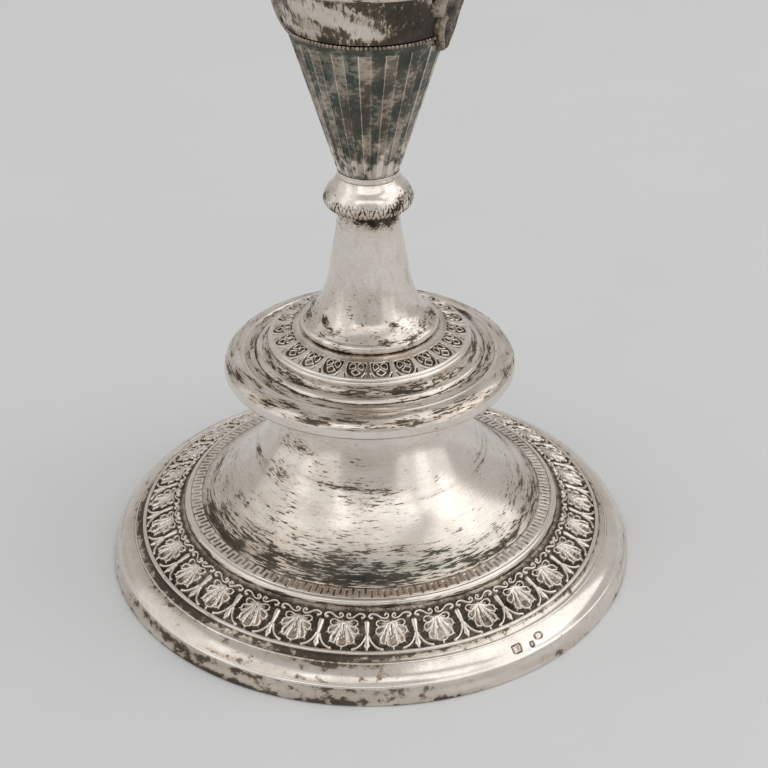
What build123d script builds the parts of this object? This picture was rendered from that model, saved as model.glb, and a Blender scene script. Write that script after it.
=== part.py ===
"""Altar candlestick in silver, built as a stack of spun shells clamped on one iron tie rod.

All sizes are millimetres. +Z is up, the origin is the centre of the foot on the table, and the two
applied leaves lie on the X axis. From the table up: stepped foot with a palmette band, trumpet-shaped
bell, stepped disc, trumpet stem, knop, fluted cup, waist, shoulder, neck, drip pan, socket, nozzle.
"""

import math
import os

from build123d import *

# ---- driving dimensions -------------------------------------------------------------------------
FOOT_RADIUS = 80.0  # the widest circle, where the foot meets the table
WALL = 1.0  # gauge of the spun silver sheet
ROD_RADIUS = 3.0  # iron tie rod, M6
ROD_HOLE = 3.4  # clearance hole for the rod

RIM_HEIGHT = 4.9  # top edge of the foot's outer face
BAND_OUTER = 69.4  # palmette band, outer and inner radius
BAND_INNER = 57.4
BAND_LOW_Z = 10.7  # its surface at the outer and at the inner radius
BAND_HIGH_Z = 16.2
WIRE_OUTER = 70.6  # half-round wire between the band and the foot rim

BELL_FLAT_OUTER = 55.3  # nearly flat ring that carries the engraved key pattern
BELL_FLAT_INNER = 51.8
BELL_FLAT_Z = 18.05
NECK_RADIUS = 25.6  # the bell's waist, under the stepped disc
NECK_Z = 54.0

DISC_RADIUS = 42.9
DISC_EDGE_Z = 62.7
STEP_OUTER = 33.6
STEP_INNER = 28.9
LEAF_BAND_Z = 72.4  # surface of the small leaf band at its outer radius
LEAF_BAND_INNER = 19.4

STEM_FOOT_Z = 75.6
STEM_TOP_Z = 112.6
STEM_TOP_RADIUS = 8.8
KNOP_RADIUS = 12.7
KNOP_WIDEST_Z = 115.6
KNOP_TOP_Z = 122.0

CUP_Z = 123.6  # the fluted cup is a cone from here ...
CUP_RADIUS = 8.65
CUP_SLOPE = 0.3136  # ... that widens by this much for each millimetre of height
BEAD_Z = 164.6
WAIST_Z = 177.2

SHOULDER_Z = 179.6
SHOULDER_RADIUS = 28.4
SHOULDER_TOP_Z = 206.0
NECK_COLLAR_TOP_Z = 209.5
UPPER_KNOP_Z = 228.0
UPPER_KNOP_RADIUS = 10.6
PAN_SUPPORT_Z = 234.6
PAN_Z = 252.0  # floor of the drip pan
PAN_RADIUS = 38.0
PAN_DEPTH = 7.2
SOCKET_Z = 254.0
SOCKET_TOP_Z = 292.0
SOCKET_BORE = 12.9
NOZZLE_TUBE_RADIUS = 12.55
CANDLE_BORE = 11.2  # takes a 22 mm candle
NOZZLE_RADIUS = 23.0
NOZZLE_DEPTH = 24.0  # how far the nozzle's tube reaches into the socket

LEAF_TIP_Z = 158.5
LEAF_TOP_Z = 194.0
LEAF_HALF_WIDTH = 12.6
LEAF_THICKNESS = 1.6


def cup_radius(z):
    """Outer radius of the cone that the cup and the waist share, at height z."""
    return CUP_RADIUS + CUP_SLOPE * (z - CUP_Z)


pieces = []


def keep(piece, label):
    """Labels a finished sub-part and puts it on the list to export."""
    piece.part.label = label
    pieces.append(piece.part)


# ---- foot ---------------------------------------------------------------------------------------
with BuildPart() as foot_rim:
    with BuildSketch(Plane.XZ):
        with BuildLine():
            # outer face, edge, rounded slope, small ridge and the cove beside the wire
            Line((FOOT_RADIUS - 1.2, 0), (FOOT_RADIUS, 0))
            ThreePointArc((FOOT_RADIUS, 0), (79.5, 2.8), (78.4, RIM_HEIGHT))
            ThreePointArc((78.4, RIM_HEIGHT), (77.2, 6.6), (75.0, 7.7))
            ThreePointArc((75.0, 7.7), (74.1, 8.1), (73.4, 8.8))
            ThreePointArc((73.4, 8.8), (72.8, 9.3), (72.2, 9.1))
            ThreePointArc((72.2, 9.1), (71.3, 9.3), (WIRE_OUTER, 10.2))
            # hollow underside
            Polyline(
                (WIRE_OUTER, 10.2),
                (WIRE_OUTER, 9.0),
                (72.2, 7.9),
                (74.6, 6.7),
                (77.2, 4.4),
                (FOOT_RADIUS - 1.2, 0),
            )
        make_face()
    revolve(axis=Axis.Z)
keep(foot_rim, "foot_rim")

with BuildPart() as band_wire:
    with BuildSketch(Plane.XZ):
        with BuildLine():
            Line((BAND_OUTER, 9.2), (WIRE_OUTER, 9.0))
            Line((WIRE_OUTER, 9.0), (WIRE_OUTER, 10.7))
            ThreePointArc((WIRE_OUTER, 10.7), (70.0, 11.3), (BAND_OUTER, 10.9))
            Line((BAND_OUTER, 10.9), (BAND_OUTER, 9.2))
        make_face()
    revolve(axis=Axis.Z)
keep(band_wire, "band_wire")

with BuildPart() as palmette_band:
    with BuildSketch(Plane.XZ):
        Polygon(
            (BAND_OUTER, BAND_LOW_Z),
            (BAND_INNER, BAND_HIGH_Z),
            (BAND_INNER, BAND_HIGH_Z - 1.2),
            (BAND_OUTER, BAND_LOW_Z - 1.2),
            align=None,
        )
    revolve(axis=Axis.Z)
keep(palmette_band, "palmette_band")

with BuildPart() as foot_bell:
    with BuildSketch(Plane.XZ):
        with BuildLine():
            # rounded rim, nearly flat ring, then one long cove up to the waist
            Line((BAND_INNER, BAND_HIGH_Z - 1.2), (BAND_INNER, BAND_HIGH_Z))
            ThreePointArc((BAND_INNER, BAND_HIGH_Z), (57.0, 17.4), (56.3, 17.8))
            Line((56.3, 17.8), (BELL_FLAT_OUTER, BELL_FLAT_Z))
            Line((BELL_FLAT_OUTER, BELL_FLAT_Z), (BELL_FLAT_INNER, BELL_FLAT_Z + 0.6))
            Bezier(
                (BELL_FLAT_INNER, BELL_FLAT_Z + 0.6),
                (43.0, 24.4),
                (27.0, 38.0),
                (NECK_RADIUS, NECK_Z),
            )
            Line((NECK_RADIUS, NECK_Z), (NECK_RADIUS - WALL, NECK_Z))
            Bezier(
                (NECK_RADIUS - WALL, NECK_Z),
                (26.0, 37.0),
                (42.0, 23.2),
                (BELL_FLAT_INNER - 0.4, BELL_FLAT_Z - 0.6),
            )
            Polyline(
                (BELL_FLAT_INNER - 0.4, BELL_FLAT_Z - 0.6),
                (51.8, 16.8),
                (54.8, 16.8),
                (56.2, BAND_HIGH_Z - 1.2),
                (BAND_INNER, BAND_HIGH_Z - 1.2),
            )
        make_face()
    revolve(axis=Axis.Z)
keep(foot_bell, "foot_bell")

# ---- what closes and weights the foot -------------------------------------------------------------
NUT_Z = 1.8
NUT_HEIGHT = 5.0
WASHER_THICKNESS = 1.2
BALLAST_Z = NUT_Z + NUT_HEIGHT + WASHER_THICKNESS
BALLAST_RADIUS = 54.0
BALLAST_TOP_Z = 16.8  # the bell's flat ring bears on this face
BALLAST_BOSS_Z = 22.0
BOARD_Z = 1.2
BOARD_THICKNESS = 2.4
BOARD_RADIUS = 77.6
BAIZE_RADIUS = 77.0
BAIZE_GAP = 0.2  # the baize stays just clear of the table
ACCESS_HOLE = 10.0  # in the board and the baize, for a socket on the nut
WASHER_RADIUS = 8.5
NUT_HALF_WIDTH = 5.0

with BuildPart() as ballast_disc:
    with BuildSketch(Plane.XZ):
        with BuildLine():
            Polyline(
                (ROD_HOLE, BALLAST_Z),
                (BALLAST_RADIUS - 1.5, BALLAST_Z),
                (BALLAST_RADIUS, BALLAST_Z + 1.5),
                (BALLAST_RADIUS, BALLAST_TOP_Z),
                (40.0, BALLAST_TOP_Z),
                (30.0, BALLAST_BOSS_Z),
                (ROD_HOLE, BALLAST_BOSS_Z),
                close=True,
            )
        make_face()
    revolve(axis=Axis.Z)
keep(ballast_disc, "ballast_disc")

with BuildPart() as base_board:
    with BuildSketch(Plane.XY.offset(BOARD_Z)):
        Circle(BOARD_RADIUS)
        Circle(ACCESS_HOLE, mode=Mode.SUBTRACT)
    extrude(amount=BOARD_THICKNESS)
    board_top = base_board.faces().sort_by(Axis.Z)[-1].edges().sort_by(SortBy.RADIUS)[-1]
    chamfer(board_top, 0.8)
keep(base_board, "base_board")

with BuildPart() as baize_pad:
    with BuildSketch(Plane.XY.offset(BAIZE_GAP)):
        Circle(BAIZE_RADIUS)
        Circle(ACCESS_HOLE, mode=Mode.SUBTRACT)
    extrude(amount=BOARD_Z - BAIZE_GAP)
keep(baize_pad, "baize_pad")

with BuildPart() as base_washer:
    with BuildSketch(Plane.XY.offset(NUT_Z + NUT_HEIGHT)):
        Circle(WASHER_RADIUS)
        Circle(ROD_HOLE, mode=Mode.SUBTRACT)
    extrude(amount=WASHER_THICKNESS)
keep(base_washer, "base_washer")

with BuildPart() as base_nut:
    with BuildSketch(Plane.XY.offset(NUT_Z)):
        RegularPolygon(radius=NUT_HALF_WIDTH, side_count=6, major_radius=False)
        Circle(ROD_RADIUS, mode=Mode.SUBTRACT)
    extrude(amount=NUT_HEIGHT)
keep(base_nut, "base_nut")

# ---- stepped disc ---------------------------------------------------------------------------------
with BuildPart() as disc_underside:
    with BuildSketch(Plane.XZ):
        with BuildLine():
            Line((NECK_RADIUS - WALL, NECK_Z), (NECK_RADIUS, NECK_Z))
            ThreePointArc((NECK_RADIUS, NECK_Z), (27.4, 58.3), (32.6, 60.2))
            Line((32.6, 60.2), (41.6, 61.6))
            Line((41.6, 61.6), (41.4, 62.6))
            Line((41.4, 62.6), (32.4, 61.2))
            ThreePointArc((32.4, 61.2), (26.6, 59.0), (NECK_RADIUS - WALL, NECK_Z))
        make_face()
    revolve(axis=Axis.Z)
keep(disc_underside, "disc_underside")

with BuildPart() as disc_top:
    with BuildSketch(Plane.XZ):
        with BuildLine():
            # turned-under edge, quarter-round slope, shallow groove beside the step
            ThreePointArc((41.6, 61.6), (42.6, 61.8), (DISC_RADIUS, DISC_EDGE_Z))
            ThreePointArc((DISC_RADIUS, DISC_EDGE_Z), (41.0, 65.6), (36.4, 67.2))
            ThreePointArc((36.4, 67.2), (34.9, 67.2), (STEP_OUTER, 67.8))
            Line((STEP_OUTER, 67.8), (STEP_OUTER, 66.7))
            ThreePointArc((STEP_OUTER, 66.7), (34.9, 66.1), (36.4, 66.1))
            ThreePointArc((36.4, 66.1), (39.8, 65.0), (41.4, 62.6))
            Line((41.4, 62.6), (41.6, 61.6))
        make_face()
    revolve(axis=Axis.Z)
keep(disc_top, "disc_top")

with BuildPart() as step_ring:
    with BuildSketch(Plane.XZ):
        with BuildLine():
            # rounded ridge, then a cove that rises to the leaf band
            ThreePointArc((STEP_OUTER, 67.8), (33.1, 68.8), (32.1, 68.8))
            ThreePointArc((32.1, 68.8), (30.4, 69.8), (29.8, 71.6))
            Line((29.8, 71.6), (STEP_INNER, LEAF_BAND_Z))
            Line((STEP_INNER, LEAF_BAND_Z), (STEP_INNER, LEAF_BAND_Z - 1.1))
            ThreePointArc((STEP_INNER, LEAF_BAND_Z - 1.1), (29.9, 68.6), (32.2, 67.0))
            Line((32.2, 67.0), (STEP_OUTER, 66.7))
            Line((STEP_OUTER, 66.7), (STEP_OUTER, 67.8))
        make_face()
    revolve(axis=Axis.Z)
keep(step_ring, "step_ring")

with BuildPart() as leaf_band:
    with BuildSketch(Plane.XZ):
        with BuildLine():
            ThreePointArc((STEP_INNER, LEAF_BAND_Z), (25.0, 74.2), (LEAF_BAND_INNER, STEM_FOOT_Z))
            Line((LEAF_BAND_INNER, STEM_FOOT_Z), (LEAF_BAND_INNER - 3.0, STEM_FOOT_Z))
            Line((LEAF_BAND_INNER - 3.0, STEM_FOOT_Z), (LEAF_BAND_INNER - 3.0, STEM_FOOT_Z - 1.1))
            ThreePointArc(
                (LEAF_BAND_INNER - 3.0, STEM_FOOT_Z - 1.1), (24.8, 73.0), (STEP_INNER, LEAF_BAND_Z - 1.1)
            )
            Line((STEP_INNER, LEAF_BAND_Z - 1.1), (STEP_INNER, LEAF_BAND_Z))
        make_face()
    revolve(axis=Axis.Z)
keep(leaf_band, "leaf_band")

# ---- trumpet stem and knop ------------------------------------------------------------------------
with BuildPart() as trumpet_stem:
    with BuildSketch(Plane.XZ):
        with BuildLine():
            Line((16.6, STEM_FOOT_Z), (19.3, STEM_FOOT_Z))
            ThreePointArc((19.3, STEM_FOOT_Z), (20.3, 76.8), (19.2, 78.1))
            Bezier((19.2, 78.1), (14.2, 80.9), (11.4, 88.5), (STEM_TOP_RADIUS, STEM_TOP_Z))
            Line((STEM_TOP_RADIUS, STEM_TOP_Z), (STEM_TOP_RADIUS - WALL, STEM_TOP_Z))
            Bezier((STEM_TOP_RADIUS - WALL, STEM_TOP_Z), (10.3, 88.5), (13.0, 80.4), (18.0, 77.0))
            Line((18.0, 77.0), (16.6, STEM_FOOT_Z))
        make_face()
    revolve(axis=Axis.Z)
keep(trumpet_stem, "trumpet_stem")


def knop_outline(low_radius, low_z, wide_radius, wide_z, top_radius, top_z):
    """Draws the closed half section of a hollow knop: a round belly between two narrower ends."""
    belly_low = (low_radius + 0.68 * (wide_radius - low_radius), low_z + 0.5 * (wide_z - low_z))
    belly_high = (top_radius + 0.80 * (wide_radius - top_radius), top_z + 0.49 * (wide_z - top_z))
    ThreePointArc((low_radius, low_z), belly_low, (wide_radius, wide_z))
    ThreePointArc((wide_radius, wide_z), belly_high, (top_radius, top_z))
    Polyline(
        (top_radius, top_z),
        (ROD_HOLE, top_z),
        (ROD_HOLE, top_z - WALL),
        (top_radius - 0.6, top_z - WALL),
    )
    ThreePointArc(
        (top_radius - 0.6, top_z - WALL),
        (belly_high[0] - WALL, belly_high[1] - 0.5 * WALL),
        (wide_radius - WALL, wide_z),
    )
    ThreePointArc(
        (wide_radius - WALL, wide_z),
        (belly_low[0] - WALL, belly_low[1] + 0.5 * WALL),
        (low_radius - 0.6, low_z + WALL),
    )
    Polyline(
        (low_radius - 0.6, low_z + WALL),
        (ROD_HOLE, low_z + WALL),
        (ROD_HOLE, low_z),
        (low_radius, low_z),
    )


with BuildPart() as stem_knop:
    with BuildSketch(Plane.XZ):
        with BuildLine():
            knop_outline(10.6, STEM_TOP_Z, KNOP_RADIUS, KNOP_WIDEST_Z, 8.8, KNOP_TOP_Z)
        make_face()
    revolve(axis=Axis.Z)
keep(stem_knop, "stem_knop")

with BuildPart() as cup_collar:
    with BuildSketch(Plane.XZ):
        with BuildLine():
            Line((ROD_HOLE, KNOP_TOP_Z), (8.5, KNOP_TOP_Z))
            ThreePointArc((8.5, KNOP_TOP_Z), (9.2, 122.8), (8.5, CUP_Z))
            Line((8.5, CUP_Z), (ROD_HOLE, CUP_Z))
            Line((ROD_HOLE, CUP_Z), (ROD_HOLE, KNOP_TOP_Z))
        make_face()
    revolve(axis=Axis.Z)
keep(cup_collar, "cup_collar")

# ---- cup, waist and shoulder ----------------------------------------------------------------------
BEAD_HALF = 0.8
bead_low_z = BEAD_Z - BEAD_HALF
bead_high_z = BEAD_Z + BEAD_HALF
FLUTES = 18
FLUTE_LOW_Z = 125.5
FLUTE_HIGH_Z = 161.6
FLUTE_DEPTH = 0.3

with BuildPart() as sunk_panels:
    # one sunk panel between each two raised ones, as wide as they are
    with BuildSketch(Plane.XZ):
        Polygon(
            (cup_radius(FLUTE_LOW_Z) - FLUTE_DEPTH, FLUTE_LOW_Z),
            (cup_radius(FLUTE_HIGH_Z) - FLUTE_DEPTH, FLUTE_HIGH_Z),
            (cup_radius(FLUTE_HIGH_Z) + 1.0, FLUTE_HIGH_Z),
            (cup_radius(FLUTE_LOW_Z) + 1.0, FLUTE_LOW_Z),
            align=None,
        )
    revolve(axis=Axis.Z, revolution_arc=180.0 / FLUTES)

with BuildPart() as fluted_cup:
    with BuildSketch(Plane.XZ):
        Polygon(
            (ROD_HOLE, CUP_Z),
            (CUP_RADIUS, CUP_Z),
            (cup_radius(bead_low_z), bead_low_z),
            (cup_radius(bead_low_z) - WALL, bead_low_z),
            (CUP_RADIUS - 0.6, CUP_Z + WALL),
            (ROD_HOLE, CUP_Z + WALL),
            align=None,
        )
    revolve(axis=Axis.Z)
    for flute in range(FLUTES):
        add(sunk_panels.part.rotate(Axis.Z, 360.0 * flute / FLUTES), mode=Mode.SUBTRACT)
keep(fluted_cup, "fluted_cup")

with BuildPart() as bead_wire:
    with BuildSketch(Plane.XZ):
        with BuildLine():
            inner = cup_radius(BEAD_Z) - WALL
            Line((inner, bead_low_z), (cup_radius(bead_low_z), bead_low_z))
            ThreePointArc(
                (cup_radius(bead_low_z), bead_low_z),
                (cup_radius(BEAD_Z) + 0.75, BEAD_Z),
                (cup_radius(bead_high_z), bead_high_z),
            )
            Line((cup_radius(bead_high_z), bead_high_z), (inner, bead_high_z))
            Line((inner, bead_high_z), (inner, bead_low_z))
        make_face()
    revolve(axis=Axis.Z)
keep(bead_wire, "bead_wire")

with BuildPart() as waist_band:
    with BuildSketch(Plane.XZ):
        Polygon(
            (cup_radius(bead_high_z), bead_high_z),
            (cup_radius(WAIST_Z), WAIST_Z),
            (cup_radius(WAIST_Z) - WALL, WAIST_Z),
            (cup_radius(bead_high_z) - WALL, bead_high_z),
            align=None,
        )
    revolve(axis=Axis.Z)
keep(waist_band, "waist_band")

with BuildPart() as waist_ring:
    with BuildSketch(Plane.XZ):
        with BuildLine():
            Line((23.4, WAIST_Z), (25.6, WAIST_Z))
            ThreePointArc((25.6, WAIST_Z), (26.8, 178.4), (25.6, SHOULDER_Z))
            Line((25.6, SHOULDER_Z), (23.4, SHOULDER_Z))
            Line((23.4, SHOULDER_Z), (23.4, WAIST_Z))
        make_face()
    revolve(axis=Axis.Z)
keep(waist_ring, "waist_ring")

with BuildPart() as shoulder:
    with BuildSketch(Plane.XZ):
        with BuildLine():
            # swells a little above the waist ring, then closes over to the neck
            Line((24.2, SHOULDER_Z), (25.3, SHOULDER_Z))
            Bezier((25.3, SHOULDER_Z), (27.4, 184.0), (SHOULDER_RADIUS, 188.0), (SHOULDER_RADIUS, 192.0))
            Bezier((SHOULDER_RADIUS, 192.0), (SHOULDER_RADIUS, 199.5), (15.5, 199.5), (8.6, SHOULDER_TOP_Z))
            Polyline(
                (8.6, SHOULDER_TOP_Z),
                (ROD_HOLE, SHOULDER_TOP_Z),
                (ROD_HOLE, SHOULDER_TOP_Z - WALL),
                (8.2, SHOULDER_TOP_Z - WALL),
            )
            Bezier(
                (8.2, SHOULDER_TOP_Z - WALL),
                (15.0, 198.4),
                (SHOULDER_RADIUS - WALL, 198.4),
                (SHOULDER_RADIUS - WALL, 192.0),
            )
            Bezier((SHOULDER_RADIUS - WALL, 192.0), (27.4, 188.0), (26.3, 184.0), (24.2, SHOULDER_Z))
        make_face()
    revolve(axis=Axis.Z)
keep(shoulder, "shoulder")

# ---- the two applied leaves -----------------------------------------------------------------------
LEAF_BEND_Z = 175.4  # the leaf lies on the cone up to here, then steps out over the waist ring
LEAF_CLEAR_RADIUS = 27.1  # clear of the waist ring
NOTCH = 1.0  # hollow in the leaf's back that lets the bead wire through
ROLL_RADIUS = 1.7  # the rolled tip at the leaf's top
ROLL_HALF_LENGTH = 4.2

with BuildPart() as leaf_mounts:
    with BuildSketch(Plane.XZ):
        with BuildLine():
            # back of the leaf
            Polyline(
                (cup_radius(LEAF_TIP_Z), LEAF_TIP_Z),
                (cup_radius(bead_low_z - 0.3), bead_low_z - 0.3),
                (cup_radius(bead_low_z - 0.3) + NOTCH, bead_low_z - 0.3),
                (cup_radius(bead_high_z + 0.3) + NOTCH, bead_high_z + 0.3),
                (cup_radius(bead_high_z + 0.3), bead_high_z + 0.3),
                (cup_radius(LEAF_BEND_Z), LEAF_BEND_Z),
                (LEAF_CLEAR_RADIUS, WAIST_Z),
                (LEAF_CLEAR_RADIUS, SHOULDER_Z),
            )
            Bezier((LEAF_CLEAR_RADIUS, SHOULDER_Z), (28.4, 183.6), (28.6, 188.0), (30.0, 193.2))
            Line((30.0, 193.2), (31.6, 192.8))
            # front of the leaf
            Bezier((31.6, 192.8), (30.4, 187.6), (30.2, 182.6), (LEAF_CLEAR_RADIUS + LEAF_THICKNESS, WAIST_Z))
            Polyline(
                (LEAF_CLEAR_RADIUS + LEAF_THICKNESS, WAIST_Z),
                (cup_radius(LEAF_BEND_Z) + LEAF_THICKNESS, LEAF_BEND_Z - 0.7),
                (cup_radius(LEAF_TIP_Z) + LEAF_THICKNESS, LEAF_TIP_Z),
                (cup_radius(LEAF_TIP_Z), LEAF_TIP_Z),
            )
        make_face()
    revolve(axis=Axis.Z)
    # the outline, cut through on one side: a pointed tip and two scallops each side
    with BuildSketch(Plane.YZ):
        with BuildLine():
            ThreePointArc((0, LEAF_TIP_Z), (3.2, 162.0), (7.6, 166.6))
            ThreePointArc((7.6, 166.6), (8.6, 169.0), (7.6, 170.6))
            ThreePointArc((7.6, 170.6), (12.4, 174.4), (LEAF_HALF_WIDTH, 179.2))
            ThreePointArc((LEAF_HALF_WIDTH, 179.2), (11.4, 181.6), (9.0, 182.6))
            ThreePointArc((9.0, 182.6), (8.6, 188.0), (5.4, LEAF_TOP_Z))
            Line((5.4, LEAF_TOP_Z), (0, LEAF_TOP_Z))
            mirror(about=Plane.YZ)
        make_face()
    extrude(amount=60, mode=Mode.INTERSECT)
    # the rolled top
    with BuildSketch(Plane.XZ):
        with Locations((31.4, 193.4)):
            Circle(ROLL_RADIUS)
    extrude(amount=ROLL_HALF_LENGTH, both=True)
    mirror(about=Plane.YZ)
keep(leaf_mounts, "leaf_mounts")

# ---- neck -----------------------------------------------------------------------------------------
with BuildPart() as neck_collar:
    with BuildSketch(Plane.XZ):
        with BuildLine():
            Line((ROD_HOLE, SHOULDER_TOP_Z), (8.8, SHOULDER_TOP_Z))
            ThreePointArc((8.8, SHOULDER_TOP_Z), (10.4, 207.6), (8.8, NECK_COLLAR_TOP_Z))
            Line((8.8, NECK_COLLAR_TOP_Z), (ROD_HOLE, NECK_COLLAR_TOP_Z))
            Line((ROD_HOLE, NECK_COLLAR_TOP_Z), (ROD_HOLE, SHOULDER_TOP_Z))
        make_face()
    revolve(axis=Axis.Z)
keep(neck_collar, "neck_collar")

upper_knop_low_z = UPPER_KNOP_Z - 5.4
upper_knop_high_z = UPPER_KNOP_Z + 6.6
with BuildPart() as neck:
    with BuildSketch(Plane.XZ):
        with BuildLine():
            Line((7.4, NECK_COLLAR_TOP_Z), (8.4, NECK_COLLAR_TOP_Z))
            Bezier((8.4, NECK_COLLAR_TOP_Z), (6.6, 213.0), (6.2, 218.0), (6.4, upper_knop_low_z))
            Line((6.4, upper_knop_low_z), (5.4, upper_knop_low_z))
            Bezier((5.4, upper_knop_low_z), (5.2, 218.0), (5.6, 213.0), (7.4, NECK_COLLAR_TOP_Z))
        make_face()
    revolve(axis=Axis.Z)
keep(neck, "neck")

with BuildPart() as neck_knop:
    with BuildSketch(Plane.XZ):
        with BuildLine():
            knop_outline(7.0, upper_knop_low_z, UPPER_KNOP_RADIUS, UPPER_KNOP_Z, 6.6, upper_knop_high_z)
        make_face()
    revolve(axis=Axis.Z)
keep(neck_knop, "neck_knop")

pan_under_z = PAN_Z - WALL
with BuildPart() as pan_support:
    with BuildSketch(Plane.XZ):
        with BuildLine():
            Line((5.4, PAN_SUPPORT_Z), (6.4, PAN_SUPPORT_Z))
            Bezier((6.4, PAN_SUPPORT_Z), (6.8, 242.0), (9.6, 246.6), (16.4, pan_under_z - 1.6))
            ThreePointArc((16.4, pan_under_z - 1.6), (17.1, pan_under_z - 0.8), (16.4, pan_under_z))
            Line((16.4, pan_under_z), (15.2, pan_under_z))
            Bezier((15.2, pan_under_z), (8.8, 246.6), (5.8, 242.0), (5.4, PAN_SUPPORT_Z))
        make_face()
    revolve(axis=Axis.Z)
keep(pan_support, "pan_support")

# ---- drip pan and socket --------------------------------------------------------------------------
pan_top_z = PAN_Z + PAN_DEPTH
with BuildPart() as drip_pan:
    with BuildSketch(Plane.XZ):
        with BuildLine():
            # flat floor, then a cove that turns up to the rim
            Line((ROD_HOLE, pan_under_z), (27.0, pan_under_z))
            Bezier(
                (27.0, pan_under_z),
                (33.0, pan_under_z + 0.4),
                (36.4, pan_under_z + 2.6),
                (PAN_RADIUS, pan_top_z),
            )
            Line((PAN_RADIUS, pan_top_z), (PAN_RADIUS - WALL, pan_top_z))
            Bezier((PAN_RADIUS - WALL, pan_top_z), (35.4, PAN_Z + 3.0), (32.6, PAN_Z + 0.4), (27.0, PAN_Z))
            Line((27.0, PAN_Z), (ROD_HOLE, PAN_Z))
            Line((ROD_HOLE, PAN_Z), (ROD_HOLE, pan_under_z))
        make_face()
    revolve(axis=Axis.Z)
keep(drip_pan, "drip_pan")

with BuildPart() as pan_beads:
    with BuildSketch(Plane.XZ):
        with BuildLine():
            Line((PAN_RADIUS - 1.2, pan_top_z), (PAN_RADIUS + 0.2, pan_top_z))
            ThreePointArc(
                (PAN_RADIUS + 0.2, pan_top_z),
                (PAN_RADIUS - 0.5, pan_top_z + 1.7),
                (PAN_RADIUS - 1.2, pan_top_z),
            )
        make_face()
    revolve(axis=Axis.Z)
keep(pan_beads, "pan_beads")

with BuildPart() as socket_collar:
    with BuildSketch(Plane.XZ):
        with BuildLine():
            Line((ROD_HOLE, PAN_Z), (12.2, PAN_Z))
            ThreePointArc((12.2, PAN_Z), (13.2, 253.0), (12.2, SOCKET_Z))
            Line((12.2, SOCKET_Z), (ROD_HOLE, SOCKET_Z))
            Line((ROD_HOLE, SOCKET_Z), (ROD_HOLE, PAN_Z))
        make_face()
    revolve(axis=Axis.Z)
keep(socket_collar, "socket_collar")

socket_floor_z = SOCKET_Z + 1.4
with BuildPart() as candle_socket:
    with BuildSketch(Plane.XZ):
        with BuildLine():
            # vase-shaped outside with a small lip, plain round bore inside
            Line((ROD_HOLE, SOCKET_Z), (8.6, SOCKET_Z))
            Bezier((8.6, SOCKET_Z), (15.8, 258.0), (16.6, 264.0), (15.2, 274.0))
            Bezier((15.2, 274.0), (14.3, 281.0), (14.0, 287.0), (16.4, SOCKET_TOP_Z - 1.6))
            ThreePointArc((16.4, SOCKET_TOP_Z - 1.6), (17.1, SOCKET_TOP_Z - 0.8), (16.4, SOCKET_TOP_Z))
            Polyline((16.4, SOCKET_TOP_Z), (SOCKET_BORE, SOCKET_TOP_Z), (SOCKET_BORE, 262.0))
            ThreePointArc((SOCKET_BORE, 262.0), (11.4, 257.8), (7.6, socket_floor_z))
            Polyline((7.6, socket_floor_z), (ROD_HOLE, socket_floor_z), (ROD_HOLE, SOCKET_Z))
        make_face()
    revolve(axis=Axis.Z)
keep(candle_socket, "candle_socket")

# ---- tie rod and what it clamps -------------------------------------------------------------------
TOP_NUT_HEIGHT = 4.0
with BuildPart() as tie_rod:
    with BuildSketch(Plane.XY.offset(NUT_Z)):
        Circle(ROD_RADIUS)
    extrude(amount=socket_floor_z + TOP_NUT_HEIGHT - NUT_Z)
    chamfer(tie_rod.edges(), 0.5)
keep(tie_rod, "tie_rod")

with BuildPart() as top_nut:
    with BuildSketch(Plane.XY.offset(socket_floor_z)):
        RegularPolygon(radius=NUT_HALF_WIDTH, side_count=6, major_radius=False)
        Circle(ROD_RADIUS, mode=Mode.SUBTRACT)
    extrude(amount=TOP_NUT_HEIGHT)
keep(top_nut, "top_nut")

# ---- the loose nozzle, which lifts out of the socket ----------------------------------------------
nozzle_foot_z = SOCKET_TOP_Z - NOZZLE_DEPTH
nozzle_top_z = SOCKET_TOP_Z + 1.2
with BuildPart() as nozzle_tube:
    with BuildSketch(Plane.XZ):
        Polygon(
            (0, nozzle_foot_z),
            (NOZZLE_TUBE_RADIUS, nozzle_foot_z),
            (NOZZLE_TUBE_RADIUS, nozzle_top_z),
            (CANDLE_BORE, nozzle_top_z),
            (CANDLE_BORE, nozzle_foot_z + WALL),
            (0, nozzle_foot_z + WALL),
            align=None,
        )
    revolve(axis=Axis.Z)
keep(nozzle_tube, "nozzle_tube")

NOZZLE_RIM_Z = 296.2
with BuildPart() as nozzle_dish:
    with BuildSketch(Plane.XZ):
        with BuildLine():
            Line((NOZZLE_TUBE_RADIUS, SOCKET_TOP_Z), (16.0, SOCKET_TOP_Z))
            Bezier((16.0, SOCKET_TOP_Z), (19.4, 292.6), (21.6, 293.8), (NOZZLE_RADIUS, NOZZLE_RIM_Z))
            Line((NOZZLE_RADIUS, NOZZLE_RIM_Z), (NOZZLE_RADIUS - WALL, NOZZLE_RIM_Z))
            Bezier((NOZZLE_RADIUS - WALL, NOZZLE_RIM_Z), (20.8, 294.6), (19.0, 293.6), (16.0, nozzle_top_z))
            Line((16.0, nozzle_top_z), (NOZZLE_TUBE_RADIUS, nozzle_top_z))
            Line((NOZZLE_TUBE_RADIUS, nozzle_top_z), (NOZZLE_TUBE_RADIUS, SOCKET_TOP_Z))
        make_face()
    revolve(axis=Axis.Z)
keep(nozzle_dish, "nozzle_dish")

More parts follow.
